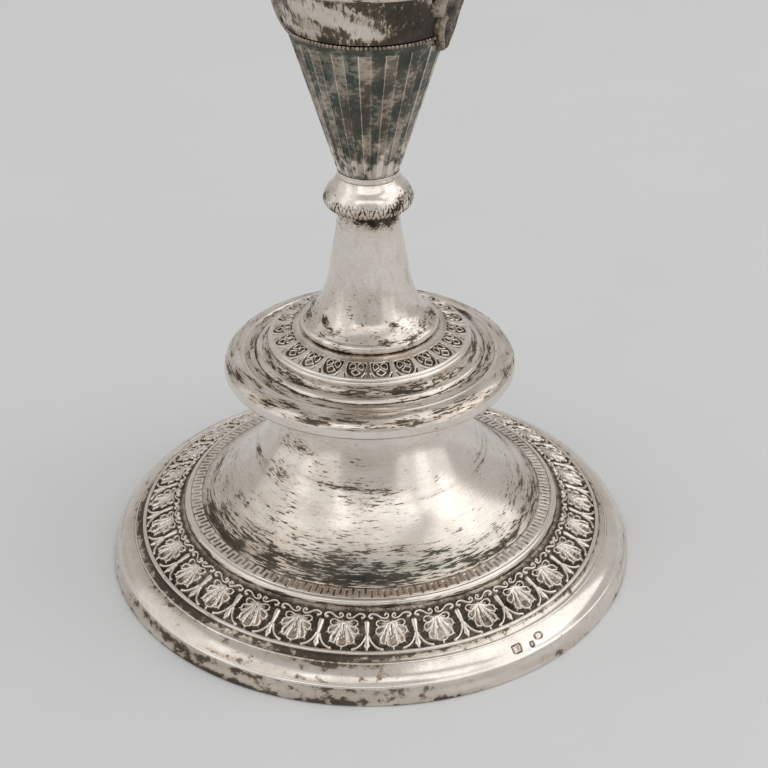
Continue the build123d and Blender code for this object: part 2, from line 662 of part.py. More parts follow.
with BuildPart() as nozzle_beads:
    with BuildSketch(Plane.XZ):
        with BuildLine():
            Line((NOZZLE_RADIUS - 1.1, NOZZLE_RIM_Z), (NOZZLE_RADIUS + 0.1, NOZZLE_RIM_Z))
            ThreePointArc(
                (NOZZLE_RADIUS + 0.1, NOZZLE_RIM_Z),
                (NOZZLE_RADIUS - 0.5, NOZZLE_RIM_Z + 1.3),
                (NOZZLE_RADIUS - 1.1, NOZZLE_RIM_Z),
            )
        make_face()
    revolve(axis=Axis.Z)
keep(nozzle_beads, "nozzle_beads")

# ---- export ---------------------------------------------------------------------------------------
os.makedirs("parts", exist_ok=True)
for part in pieces:
    export_step(part, f"parts/{part.label}.step")
print(len(pieces), "pieces, height", round(NOZZLE_RIM_Z + 1.3, 1), "mm")
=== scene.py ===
"""Silver altar candlestick: chased and turned surfaces, old tarnish and a pale studio.

Places and sizes are shared with the solid model in model.glb. Outlines below are in
millimetres as (radius, height, tarnish) and run from the bottom up with the outside on their right.
Angles are measured from +X towards +Y, and the two applied leaves lie on the X axis.
"""
import math

import bpy
import numpy as np
from bpy.props import FloatProperty, FloatVectorProperty, IntProperty, PointerProperty
from bpy.types import Operator, Panel, PropertyGroup
from mathutils import Euler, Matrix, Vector


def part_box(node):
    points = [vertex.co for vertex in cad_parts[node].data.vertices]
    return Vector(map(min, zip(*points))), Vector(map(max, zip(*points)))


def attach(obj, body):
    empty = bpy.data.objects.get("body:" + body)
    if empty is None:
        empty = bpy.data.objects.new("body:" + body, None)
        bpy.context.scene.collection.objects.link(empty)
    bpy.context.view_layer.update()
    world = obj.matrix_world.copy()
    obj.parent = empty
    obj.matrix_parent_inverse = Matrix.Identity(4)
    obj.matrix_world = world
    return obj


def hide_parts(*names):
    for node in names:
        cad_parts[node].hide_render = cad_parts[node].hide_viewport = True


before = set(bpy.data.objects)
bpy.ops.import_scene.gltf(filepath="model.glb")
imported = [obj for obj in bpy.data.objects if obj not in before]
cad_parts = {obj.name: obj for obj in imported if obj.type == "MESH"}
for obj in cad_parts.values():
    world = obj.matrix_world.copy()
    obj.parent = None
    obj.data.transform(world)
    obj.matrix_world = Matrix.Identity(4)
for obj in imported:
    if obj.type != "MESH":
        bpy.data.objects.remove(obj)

bl_info = {
    "name": "Altar Candlestick",
    "version": (1, 0, 0),
    "blender": (4, 5, 0),
    "location": "3D Viewport > Sidebar > Candlestick",
    "description": "Turned and chased silver candlestick with a palmette foot and a fluted cup",
    "category": "Object",
}

MM = 0.001
FULL_TURN = 2.0 * math.pi
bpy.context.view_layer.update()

CUP_FOOT_Z = 123.6  # the cup and the waist share one cone, from here ...
CUP_FOOT_RADIUS = 8.65
CUP_SLOPE = 0.3136  # ... widening by this much for each millimetre of height
CAMERA_AZIMUTH = 18.0  # degrees from -Y towards +X
CAMERA_PLACE = (0.12997, -0.37993, 0.2910)  # metres
CAMERA_DOWNWARD = 30.49  # degrees below the horizon
CAMERA_LENS = 73.4  # millimetres, with the sensor's width below
SENSOR_WIDTH = 36.0
CAMERA_SHIFT = -0.009
LAMP_DISTANCE = 3.0  # metres from the point that the lamps face
LAMP_AIM_HEIGHT = 0.07  # metres: that point is on the axis, this far up
FLOOR_HALF_SIDE = 6.0  # metres
AIR_COLOUR = (1.0, 0.993, 0.985, 1.0)
MARKS_RADIUS = 76.0  # millimetres from the axis, for lengths round the foot
MARKS_LINE = 76.3  # millimetres from the axis, the line that the punches follow
FRONT = math.radians(-72.0)  # the side of the foot that took the most wear


def cup_radius(height):
    """Radius of the cup's cone: foot radius plus slope times the height above its foot."""
    return CUP_FOOT_RADIUS + CUP_SLOPE * (height - CUP_FOOT_Z)


def reach(node):
    """Outer radius, lowest and highest height of a CAD node, in millimetres."""
    low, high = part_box(node)
    radius = min(-low[0], high[0], -low[1], high[1])
    return radius / MM, low[2] / MM, high[2] / MM


# ---- outlines -------------------------------------------------------------------------------------
def bow(start, end, rise, count=12):
    """Circular arc from start to end that bulges by `rise` to the right of its chord."""
    start = np.asarray(start, float)
    end = np.asarray(end, float)
    chord = end[:2] - start[:2]
    half = 0.5 * np.hypot(*chord)
    spread = 2.0 * math.atan2(rise, half)
    turn = np.linspace(-spread, spread, count)
    share = 0.5 + 0.5 * np.sin(turn) / math.sin(spread)
    swell = half * (np.cos(turn) - math.cos(spread)) / math.sin(spread)
    right = np.array([chord[1], -chord[0]]) / (2.0 * half)
    line = start + share[:, None] * (end - start)
    line[:, :2] += swell[:, None] * right
    return line


def bend(*controls, count=40):
    """Bezier curve: the Bernstein blend of its control points."""
    controls = np.asarray(controls, float)
    order = len(controls) - 1
    t = np.linspace(0.0, 1.0, count)[:, None]
    weights = [math.comb(order, k) * t**k * (1 - t) ** (order - k) for k in range(order + 1)]
    return sum(weight * control for weight, control in zip(weights, controls))


def through(*points, count=8):
    """Catmull-Rom curve through every point, with its end tangents along the first and last chord."""
    knots = np.asarray(points, float)
    padded = np.vstack([2 * knots[0] - knots[1], knots, 2 * knots[-1] - knots[-2]])
    t = np.linspace(0.0, 1.0, count, endpoint=False)[None, :, None]
    a, b, c, d = (padded[k : len(padded) - 3 + k, None, :] for k in range(4))
    line = 0.5 * (2 * b + (c - a) * t + (2 * a - 5 * b + 4 * c - d) * t**2 + (3 * b - a - 3 * c + d) * t**3)
    return np.vstack([line.reshape(-1, knots.shape[1]), knots[-1:]])


def path(*parts):
    """Joins points and curves into one line and drops a point that repeats the one before it."""
    line = np.vstack([np.atleast_2d(np.asarray(part, float)) for part in parts])
    step = np.hypot(*np.diff(line[:, :2], axis=0).T)
    return line[np.r_[True, step > 1e-6]]


def finer(line, step):
    """The same line with points no further apart than `step`, keeping its own points."""
    parts = []
    for start, end in zip(line[:-1], line[1:]):
        count = max(1, int(math.ceil(np.hypot(*(end - start)[:2]) / step)))
        parts.append(start + np.linspace(0.0, 1.0, count, endpoint=False)[:, None] * (end - start))
    return np.vstack(parts + [line[-1:]])


def ease(low, high, value):
    """Smooth step from 0 at low to 1 at high: 3t^2 - 2t^3."""
    t = np.clip((value - low) / (high - low), 0.0, 1.0)
    return t * t * (3.0 - 2.0 * t)


def hump(value, centre, half_width):
    """Smooth hump: 1 at the centre, 0 beyond half_width, as (1 - u^2)^2."""
    return np.clip(1.0 - ((value - centre) / half_width) ** 2, 0.0, 1.0) ** 2


def drift(angle, along, seed, turns=9, pitch=8.0, count=14):
    """Uneven field of about -1 to 1: cosines with whole turns round the axis, random waves along it."""
    rng = np.random.default_rng(seed)
    round_axis = rng.integers(-turns, turns + 1, count)
    lengthwise = rng.uniform(-FULL_TURN / pitch, FULL_TURN / pitch, count)
    phase = rng.uniform(0.0, FULL_TURN, count)
    total = np.zeros(np.broadcast(angle, along).shape)
    for turn, wave, start in zip(round_axis, lengthwise, phase):
        total += np.cos(turn * angle + wave * along + start)
    return total * math.sqrt(1.0 / count)


def facing(angle, centre, half_width):
    """1 on the side of the axis at angle `centre`, fading to 0 at half_width away, all in radians."""
    away = np.abs((angle - centre + math.pi) % FULL_TURN - math.pi)
    return 1.0 - ease(0.4 * half_width, half_width, away)


def ridge(x, y, line, widths):
    """Rounded ridge along a line: 1 - (distance / half width)^2, the largest over all its segments."""
    line = np.asarray(line, float)
    widths = np.broadcast_to(np.asarray(widths, float), len(line))
    top = np.zeros(np.broadcast(x, y).shape)
    for (x0, y0), (x1, y1), w0, w1 in zip(line[:-1], line[1:], widths[:-1], widths[1:]):
        dx, dy = x1 - x0, y1 - y0
        t = np.clip(((x - x0) * dx + (y - y0) * dy) / max(dx * dx + dy * dy, 1e-9), 0.0, 1.0)
        square = (x - x0 - t * dx) ** 2 + (y - y0 - t * dy) ** 2
        top = np.maximum(top, 1.0 - square / (w0 + (w1 - w0) * t) ** 2)
    return top


# ---- meshes ---------------------------------------------------------------------------------------
def closed_grid(points, wrap_rows, wrap_columns):
    """Quads and triangles of a grid; a row shrunk to a point becomes a pole."""
    rows, columns, _ = points.shape
    index = np.arange(rows * columns).reshape(rows, columns)
    poles = np.ptp(points, axis=1).max(axis=1) < 1e-9
    index[poles] = index[poles][:, :1]
    if wrap_rows:
        index = np.vstack([index, index[:1]])
    if wrap_columns:
        index = np.hstack([index, index[:, :1]])
    quads = np.stack([index[:-1, :-1], index[:-1, 1:], index[1:, 1:], index[1:, :-1]], axis=-1).reshape(-1, 4)
    low_pole = quads[:, 0] == quads[:, 1]
    high_pole = quads[:, 2] == quads[:, 3]
    triangles = np.vstack([quads[low_pole & ~high_pole][:, [0, 2, 3]], quads[high_pole & ~low_pole][:, :3]])
    return quads[~low_pole & ~high_pole], triangles


def make_piece(name, grids, node, material, body="root", crease=42.0, slot="silver"):
    """Puts grids of (points, tarnish and painted shade, tint, wrap rows, wrap columns, caps) into one mesh
    piece.
    """
    corners, starts, places, tarnish, tints = [], [], [], [], []
    base, loops = 0, 0
    for points, tarnish_and_shade, tint, wrap_rows, wrap_columns, caps in grids:
        quads, triangles = closed_grid(points, wrap_rows, wrap_columns)
        faces = [(quads, 4), (triangles, 3)]
        index = np.arange(points.shape[0] * points.shape[1]).reshape(points.shape[:2])
        if caps == "columns":
            faces += [(index[:, :1].T, len(index)), (index[::-1, -1:].T, len(index))]
        elif caps == "rows":
            faces += [(index[:1, ::-1], index.shape[1]), (index[-1:], index.shape[1])]
        for block, size in faces:
            if not len(block):
                continue
            corners.append(block.ravel() + base)
            starts.append(loops + size * np.arange(len(block)))
            loops += size * len(block)
        places.append(points.reshape(-1, 3) * MM)
        tarnish.append(np.broadcast_to(tarnish_and_shade, points.shape[:2]).ravel())
        tints.append(np.broadcast_to(tint, points.shape[:2]).ravel())
        base += points.shape[0] * points.shape[1]
    corners, starts, places = np.concatenate(corners), np.concatenate(starts), np.vstack(places)
    used = np.zeros(base, bool)
    used[corners] = True
    corners = (np.cumsum(used) - 1)[corners]
    mesh = bpy.data.meshes.new(name)
    mesh.vertices.add(int(used.sum()))
    mesh.vertices.foreach_set("co", places[used].ravel())
    mesh.loops.add(len(corners))
    mesh.loops.foreach_set("vertex_index", corners.astype(np.int32))
    mesh.polygons.add(len(starts))
    mesh.polygons.foreach_set("loop_start", starts.astype(np.int32))
    mesh.update(calc_edges=True)
    mesh.validate()
    # the tarnish attribute holds tarnish and also painted shade, such as the painted shadow under the stem's
    # flange
    for label, values in (("tarnish", tarnish), ("tint", tints)):
        field = mesh.attributes.new(label, "FLOAT", "POINT")
        field.data.foreach_set("value", np.clip(np.concatenate(values)[used], 0.0, 1.0).astype(np.float32))
    mesh.shade_smooth()
    mesh.set_sharp_from_angle(angle=math.radians(crease))
    mesh.materials.append(material)
    piece = bpy.data.objects.new(name, mesh)
    bpy.context.scene.collection.objects.link(piece)
    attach(piece, body)
    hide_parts(*([node] if isinstance(node, str) else node))
    return piece


def even_angles(count, start=0.0):
    """Evenly spaced angles round the axis."""
    return start + FULL_TURN * np.arange(count) / count


def revolve(line, angles, height=None):
    """Surface of revolution: each outline point swept round Z, moved along the outline's normal by height."""
    closing = np.vstack([line[-1:, :2], line[:, :2], line[:1, :2]])
    run = closing[2:] - closing[:-2]
    if height is not None:
        count = len(height)
        inner = np.vstack([2 * line[:1, :2] - line[1:2, :2], line[:count, :2], 2 * line[count - 1 : count, :2]
                           - line[count - 2 : count - 1, :2]])
        run[:count] = inner[2:] - inner[:-2]
    normal = np.stack([run[:, 1], -run[:, 0]], axis=1)
    normal /= np.maximum(np.hypot(*normal.T), 1e-9)[:, None]
    radius = np.repeat(line[:, :1], len(angles), axis=1)
    level = np.repeat(line[:, 1:2], len(angles), axis=1)
    if height is not None:
        radius[: len(height)] += normal[: len(height), :1] * height
        level[: len(height)] += normal[: len(height), 1:] * height
    return np.stack([radius * np.cos(angles), radius * np.sin(angles), level], axis=-1)


def turned(name, node, outer, back, material, angles=None, height=None, tarnish_and_shade=None, tint=0.0, **more):
    """A shell turned about Z: the outer outline from the bottom up, then the back from the top down."""
    angles = even_angles(288) if angles is None else angles
    line = path(outer, back) if len(back) else outer
    # tarnish and painted shade for every vertex: the outline's values plus what the caller adds
    tarnish_and_shade_grid = np.repeat(line[:, 2:3], len(angles), axis=1)
    shade = np.zeros_like(tarnish_and_shade_grid)
    shade[: len(outer)] = tint
    if tarnish_and_shade is not None:
        tarnish_and_shade_grid[: len(outer)] = np.clip(tarnish_and_shade_grid[: len(outer)] + tarnish_and_shade, 0.0, 1.0)
    points = revolve(line, angles, height)
    grid = (points, tarnish_and_shade_grid, shade, bool(len(back)), True, "")
    return make_piece(name, [grid], node, material, **more)


def bead_ring(name, node, radius, level, bead, count, material, worn=0.2, **more):
    """A wire of beads: sections of radius sqrt(bead^2 - s^2), s from a bead's centre, never under a neck."""
    steps = 8
    angles = even_angles(count * steps)
    s = radius * ((angles * count / FULL_TURN + 0.5) % 1.0 - 0.5) * FULL_TURN / count
    section = np.sqrt(np.maximum(bead**2 - s**2, (0.55 * bead) ** 2))
    turn = -np.linspace(0.0, FULL_TURN, 9, endpoint=False)[:, None]
    out = radius + section * np.cos(-turn)
    up = level + section * np.sin(-turn)
    points = np.stack([out * np.cos(angles), out * np.sin(angles), up], axis=-1)
    tarnish_and_shade = worn + (0.85 - worn) * ease(0.80, 0.5, section / bead) + 0.0 * turn
    return make_piece(name, [(points, tarnish_and_shade, 0.0, True, True, "")], node, material, **more)


# ---- finishes -------------------------------------------------------------------------------------
class Shader:
    """A material's node tree with short calls that add and link nodes."""

    def __init__(self, name):
        self.material = bpy.data.materials.new(name)
        self.material.use_nodes = True
        self.tree = self.material.node_tree
        self.surface = self.tree.nodes["Principled BSDF"]
        self.place = self.tree.nodes.new("ShaderNodeTexCoord").outputs["Object"]

    def add(self, kind, values=(), **settings):
        node = self.tree.nodes.new(kind)
        for key, value in settings.items():
            setattr(node, key, value)
        for key, value in dict(values).items():
            if isinstance(value, bpy.types.NodeSocket):
                self.tree.links.new(value, node.inputs[key])
            else:
                node.inputs[key].default_value = value
        return node

    def math(self, operation, first, second=0.0, third=0.0, clamp=False):
        values = {0: first, 1: second, 2: third}
        return self.add("ShaderNodeMath", values, operation=operation, use_clamp=clamp).outputs[0]

    def noise(self, scale, detail=4.0, roughness=0.55, vector=None, distortion=0.0):
        vector = self.place if vector is None else vector
        values = {"Vector": vector, "Scale": scale, "Detail": detail, "Roughness": roughness}
        values["Distortion"] = distortion
        return self.add("ShaderNodeTexNoise", values, normalize=True).outputs["Fac"]

    def field(self, name):
        return self.add("ShaderNodeAttribute", attribute_type="GEOMETRY", attribute_name=name).outputs["Fac"]

    def spread(self, value, low, high, to_low=0.0, to_high=1.0):
        values = {"Value": value, "From Min": low, "From Max": high, "To Min": to_low, "To Max": to_high}
        return self.add("ShaderNodeMapRange", values).outputs["Result"]

    def ramp(self, value, stops):
        node = self.add("ShaderNodeValToRGB", {"Fac": value})
        ramp = node.color_ramp
        for position, colour in stops[1:-1]:
            ramp.elements.new(position)
        for element, (position, colour) in zip(ramp.elements, stops):
            element.position = position
            element.color = (*colour[:3], 1.0)
        return node.outputs["Color"]

    def blend(self, share, first, second):
        node = self.add("ShaderNodeMix", {0: share, 6: first, 7: second}, data_type="RGBA")
        return node.outputs[2]

    def bump(self, height, distance, strength=1.0, normal=None):
        values = {"Height": height, "Distance": distance, "Strength": strength}
        if normal is not None:
            values["Normal"] = normal
        return self.add("ShaderNodeBump", values).outputs["Normal"]

    def finish(self, **sockets):
        for key, value in sockets.items():
            target = self.surface.inputs[key.replace("_", " ")]
            if isinstance(value, bpy.types.NodeSocket):
                self.tree.links.new(value, target)
            else:
                target.default_value = value
        return self.material


def silver(name, colours, cells=(13.0, 2300.0, 2300.0), film=0.42, flakes=0.50, edge=0.12,
           mottle=0.26, dents=0.5):
    """Old silver: a thin film under dark flakes with sharp edges, drawn out round the axis.

    A flake lies where four-dimensional noise, taken over direction, radius and height, plus the tarnish
    field passes a level. That field also holds painted shade. Film and flakes together pick the colour and
    the gloss.
    """
    shader = Shader(name)
    axes = shader.add("ShaderNodeSeparateXYZ", {0: shader.place}).outputs
    squares = shader.math("ADD", shader.math("MULTIPLY", axes[0], axes[0]),
                          shader.math("MULTIPLY", axes[1], axes[1]))
    radius = shader.math("MAXIMUM", shader.math("SQRT", squares), 0.0001)
    east = shader.math("DIVIDE", axes[0], radius)
    north = shader.math("DIVIDE", axes[1], radius)
    turn, out, up = cells
    spot = shader.add(
        "ShaderNodeCombineXYZ",
        {
            0: shader.math("MULTIPLY", east, turn),
            1: shader.math("MULTIPLY", north, turn),
            2: shader.math("MULTIPLY", radius, out),
        },
    ).outputs[0]
    level = shader.math("MULTIPLY", axes[2], up)
    chips = shader.add(
        "ShaderNodeTexNoise",
        {"Vector": spot, "W": level, "Scale": 1.0, "Detail": 5.0, "Roughness": 0.66},
        noise_dimensions="4D",
        normalize=True,
    ).outputs["Fac"]
    # the tarnish field carries tarnish and painted shade, such as the painted shadow under the stem's flange
    tarnish = shader.field("tarnish")
    clumps = shader.noise(75.0, 3.0, 0.6)
    grouped = shader.math("MULTIPLY_ADD", shader.math("SUBTRACT", clumps, 0.5), 1.1, tarnish)
    risen = shader.math("ADD", shader.spread(chips, 0.32, 0.68), grouped)
    mask = shader.spread(risen, 0.97, 0.97 + edge)
    specks = shader.noise(900.0, 3.0, 0.6)
    haze = shader.noise(110.0, 4.0, 0.6)
    thin = shader.math("MULTIPLY_ADD", shader.math("SUBTRACT", specks, 0.5), 0.14, 0.03)
    thin = shader.math("MULTIPLY_ADD", shader.math("SUBTRACT", chips, 0.5), mottle, thin)
    thin = shader.math("MULTIPLY_ADD", shader.math("SUBTRACT", haze, 0.5), 0.22, thin)
    thin = shader.math("MULTIPLY_ADD", tarnish, film, thin)
    total = shader.math("MULTIPLY_ADD", mask, flakes, thin, clamp=True)
    brown = [(0.0, colours.clean), (0.30, colours.warm), (0.62, colours.brown), (1.0, colours.dark)]
    green = [(0.0, colours.clean), (0.28, (0.50, 0.49, 0.44)), (0.60, colours.green),
             (1.0, (0.040, 0.046, 0.041))]
    shade = shader.blend(shader.field("tint"), shader.ramp(total, brown), shader.ramp(total, green))
    gloss = shader.spread(total, 0.0, 0.75, colours.gloss, colours.matt)
    gloss = shader.math("MULTIPLY_ADD", shader.math("SUBTRACT", haze, 0.5), 0.10, gloss)
    waves = shader.noise(120.0, 2.0, 0.5)
    low = shader.bump(waves, 0.0007, 0.08 * dents)
    normal = shader.bump(shader.math("MULTIPLY_ADD", mask, -0.5, specks), 0.00010, 0.16, normal=low)
    return shader.finish(Base_Color=shade, Roughness=gloss, Metallic=1.0, Normal=normal)


def cast_iron(name):
    """Cast iron: dark grey with a sandy skin and rust in the hollows."""
    shader = Shader(name)
    skin = shader.noise(900.0, 6.0, 0.7)
    rust = shader.noise(70.0, 5.0, 0.6)
    colour = shader.ramp(rust, [(0.35, (0.045, 0.043, 0.042)), (0.62, (0.07, 0.055, 0.045)),
                                (0.8, (0.17, 0.07, 0.03))])
    normal = shader.bump(skin, 0.0006, 0.5)
    rough = shader.spread(rust, 0.3, 0.8, 0.55, 0.85)
    return shader.finish(Base_Color=colour, Roughness=rough, Metallic=0.6, Normal=normal)


def board_wood(name, colours):
    """Stained hardwood: long grain from stretched noise, with fine pores."""
    shader = Shader(name)
    stretched = shader.add("ShaderNodeMapping",
                           {"Vector": shader.place, "Scale": (18.0, 260.0, 260.0)}).outputs[0]
    grain = shader.noise(1.0, 6.0, 0.6, vector=stretched, distortion=1.2)
    fine = shader.add("ShaderNodeMapping",
                      {"Vector": shader.place, "Scale": (90.0, 2600.0, 2600.0)}).outputs[0]
    pores = shader.noise(1.0, 3.0, 0.5, vector=fine)
    dark = tuple(0.35 * value for value in colours.wood[:3])
    colour = shader.ramp(shader.math("MULTIPLY_ADD", pores, 0.3, shader.math("MULTIPLY", grain, 0.8)),
                         [(0.35, dark), (0.6, colours.wood), (0.8, tuple(1.5 * v for v in colours.wood[:3]))])
    normal = shader.bump(pores, 0.0002, 0.4)
    return shader.finish(Base_Color=colour, Roughness=shader.spread(grain, 0.2, 0.8, 0.42, 0.62),
                         Normal=normal)


def baize(name, colours):
    """Green baize: a dense nap of short fibres with worn patches and soft sheen."""
    shader = Shader(name)
    nap = shader.noise(2600.0, 5.0, 0.75)
    worn = shader.noise(38.0, 4.0, 0.6)
    dark = tuple(0.45 * value for value in colours.baize[:3])
    pale = tuple(1.6 * value for value in colours.baize[:3])
    colour = shader.ramp(shader.math("MULTIPLY_ADD", nap, 0.5, shader.math("MULTIPLY", worn, 0.5)),
                         [(0.3, dark), (0.5, colours.baize), (0.75, pale)])
    normal = shader.bump(nap, 0.0008, 0.7)
    shader.surface.inputs["Sheen Weight"].default_value = 0.4
    shader.surface.inputs["Sheen Roughness"].default_value = 0.5
    return shader.finish(Base_Color=colour, Roughness=0.95, Normal=normal)


def rod_steel(name):
    """Black iron hardware: oily dark steel with rub marks and a little rust."""
    shader = Shader(name)
    rub = shader.noise(600.0, 5.0, 0.65)
    rust = shader.noise(160.0, 4.0, 0.6)
    colour = shader.ramp(rust,
                         [(0.4, (0.14, 0.13, 0.125)), (0.6, (0.09, 0.08, 0.07)), (0.8, (0.20, 0.09, 0.04))])
    normal = shader.bump(rub, 0.0002, 0.4)
    rough = shader.spread(rub, 0.3, 0.7, 0.32, 0.6)
    return shader.finish(Base_Color=colour, Roughness=rough, Metallic=0.9, Normal=normal)


def studio_paper(name, colour):
    """Pale studio floor: matt paint with a barely visible mottle."""
    shader = Shader(name)
    mottle = shader.noise(9.0, 5.0, 0.6)
    light = tuple(1.015 * value for value in colour[:3])
    dark = tuple(0.985 * value for value in colour[:3])
    shade = shader.ramp(mottle, [(0.3, dark), (0.7, light)])
    normal = shader.bump(shader.noise(700.0, 3.0, 0.5), 0.0004, 0.1)
    return shader.finish(Base_Color=shade, Roughness=0.9, Normal=normal)


# ---- settings -------------------------------------------------------------------------------------
class CandlestickSizes(PropertyGroup):
    palmettes: IntProperty(name="Palmettes", description="Palmettes round the foot band", default=30, min=6)
    palmette_relief: FloatProperty(
        name="Palmette relief", description="Height of the palmettes over their ground",
        default=0.00068, unit="LENGTH", subtype="DISTANCE")
    key_slots: IntProperty(name="Key slots", description="Outward slots in the Greek key", default=96, min=12)
    key_depth: FloatProperty(
        name="Key depth", description="Depth of the engraved key", default=0.00014, unit="LENGTH",
        subtype="DISTANCE")
    leaves: IntProperty(name="Leaves", description="Heart-shaped leaves on the small band", default=22, min=6)
    leaf_relief: FloatProperty(
        name="Leaf relief", description="Depth of the sunk ground round the leaves",
        default=0.00055, unit="LENGTH", subtype="DISTANCE")
    knop_leaves: IntProperty(name="Knop leaves", description="Chased leaves under the knop",
                             default=20, min=5)
    strips: IntProperty(name="Strips", description="Raised flat strips on the cup", default=18, min=6)
    strip_height: FloatProperty(
        name="Strip height", description="Height of the strips", default=0.0003, unit="LENGTH",
        subtype="DISTANCE")
    waist_beads: IntProperty(name="Waist beads", description="Beads at the top of the strips",
                             default=120, min=20)
    pan_beads: IntProperty(name="Pan beads", description="Beads on the drip pan's rim", default=144, min=20)
    nozzle_beads: IntProperty(name="Nozzle beads", description="Beads on the nozzle's rim",
                              default=96, min=20)


class CandlestickColours(PropertyGroup):
    clean: FloatVectorProperty(
        name="Silver", description="Polished silver", subtype="COLOR", size=3,
        default=(0.86, 0.805, 0.745), max=1.0)
    warm: FloatVectorProperty(
        name="First tarnish", description="Thin yellow-grey tarnish", subtype="COLOR", size=3,
        default=(0.54, 0.455, 0.37), max=1.0)
    brown: FloatVectorProperty(
        name="Brown tarnish", description="Thick brown tarnish", subtype="COLOR", size=3,
        default=(0.17, 0.14, 0.11), max=1.0)
    dark: FloatVectorProperty(
        name="Dark tarnish", description="Nearly black tarnish in hollows", subtype="COLOR", size=3,
        default=(0.03, 0.026, 0.022), max=1.0)
    green: FloatVectorProperty(
        name="Green-grey tarnish", description="Cool tarnish in the cup's hollows", subtype="COLOR", size=3,
        default=(0.115, 0.125, 0.105), max=1.0)
    gloss: FloatProperty(
        name="Clean roughness", description="Roughness of polished silver", default=0.15, subtype="FACTOR")
    matt: FloatProperty(
        name="Tarnished roughness", description="Roughness of thick tarnish", default=0.50, subtype="FACTOR")
    wood: FloatVectorProperty(
        name="Board", description="Stained board under the foot", subtype="COLOR", size=3,
        default=(0.16, 0.07, 0.03), max=1.0)
    baize: FloatVectorProperty(
        name="Baize", description="Cloth under the foot", subtype="COLOR", size=3,
        default=(0.02, 0.10, 0.045), max=1.0)


class CandlestickStage(PropertyGroup):
    floor: FloatVectorProperty(
        name="Floor", description="Colour of the floor", subtype="COLOR", size=3,
        default=(0.745, 0.75, 0.755), max=1.0)
    air: FloatProperty(name="Ambient light", description="Strength of the even grey light",
                       default=0.53, min=0.0)
    lamps: FloatProperty(name="Lamps", description="Brightness of all soft lamps together",
                         default=1.0, min=0.0)


class CANDLESTICK_OT_finishes(Operator):
    """Makes the silver and the other finishes, and gives the inner parts theirs"""

    bl_idname = "candlestick.finishes"
    bl_label = "Finishes"

    def execute(self, context):
        colours = context.scene.candlestick_colours
        silver("old_turned_silver", colours)
        silver("old_stained_silver", colours, cells=(24.0, 450.0, 450.0), flakes=0.42, edge=0.22)
        silver("old_chased_silver", colours, cells=(24.0, 900.0, 900.0), film=0.72, flakes=0.22, edge=0.4)
        silver("cup_tarnish", colours, cells=(9.0, 500.0, 900.0), film=0.80, flakes=0.13, edge=0.1,
               mottle=0.26)
        finishes = {
            "ballast_disc": cast_iron("rusted_casting"),
            "base_board": board_wood("stained_board", colours),
            "baize_pad": baize("green_baize", colours),
        }
        steel = rod_steel("blackened_steel")
        for node in ("base_washer", "base_nut", "tie_rod", "top_nut"):
            finishes[node] = steel
        for node, material in finishes.items():
            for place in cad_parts[node].material_slots:
                place.material = material
        return {"FINISHED"}


def finish_named(name):
    """The finish made earlier under this name."""
    return bpy.data.materials[name]


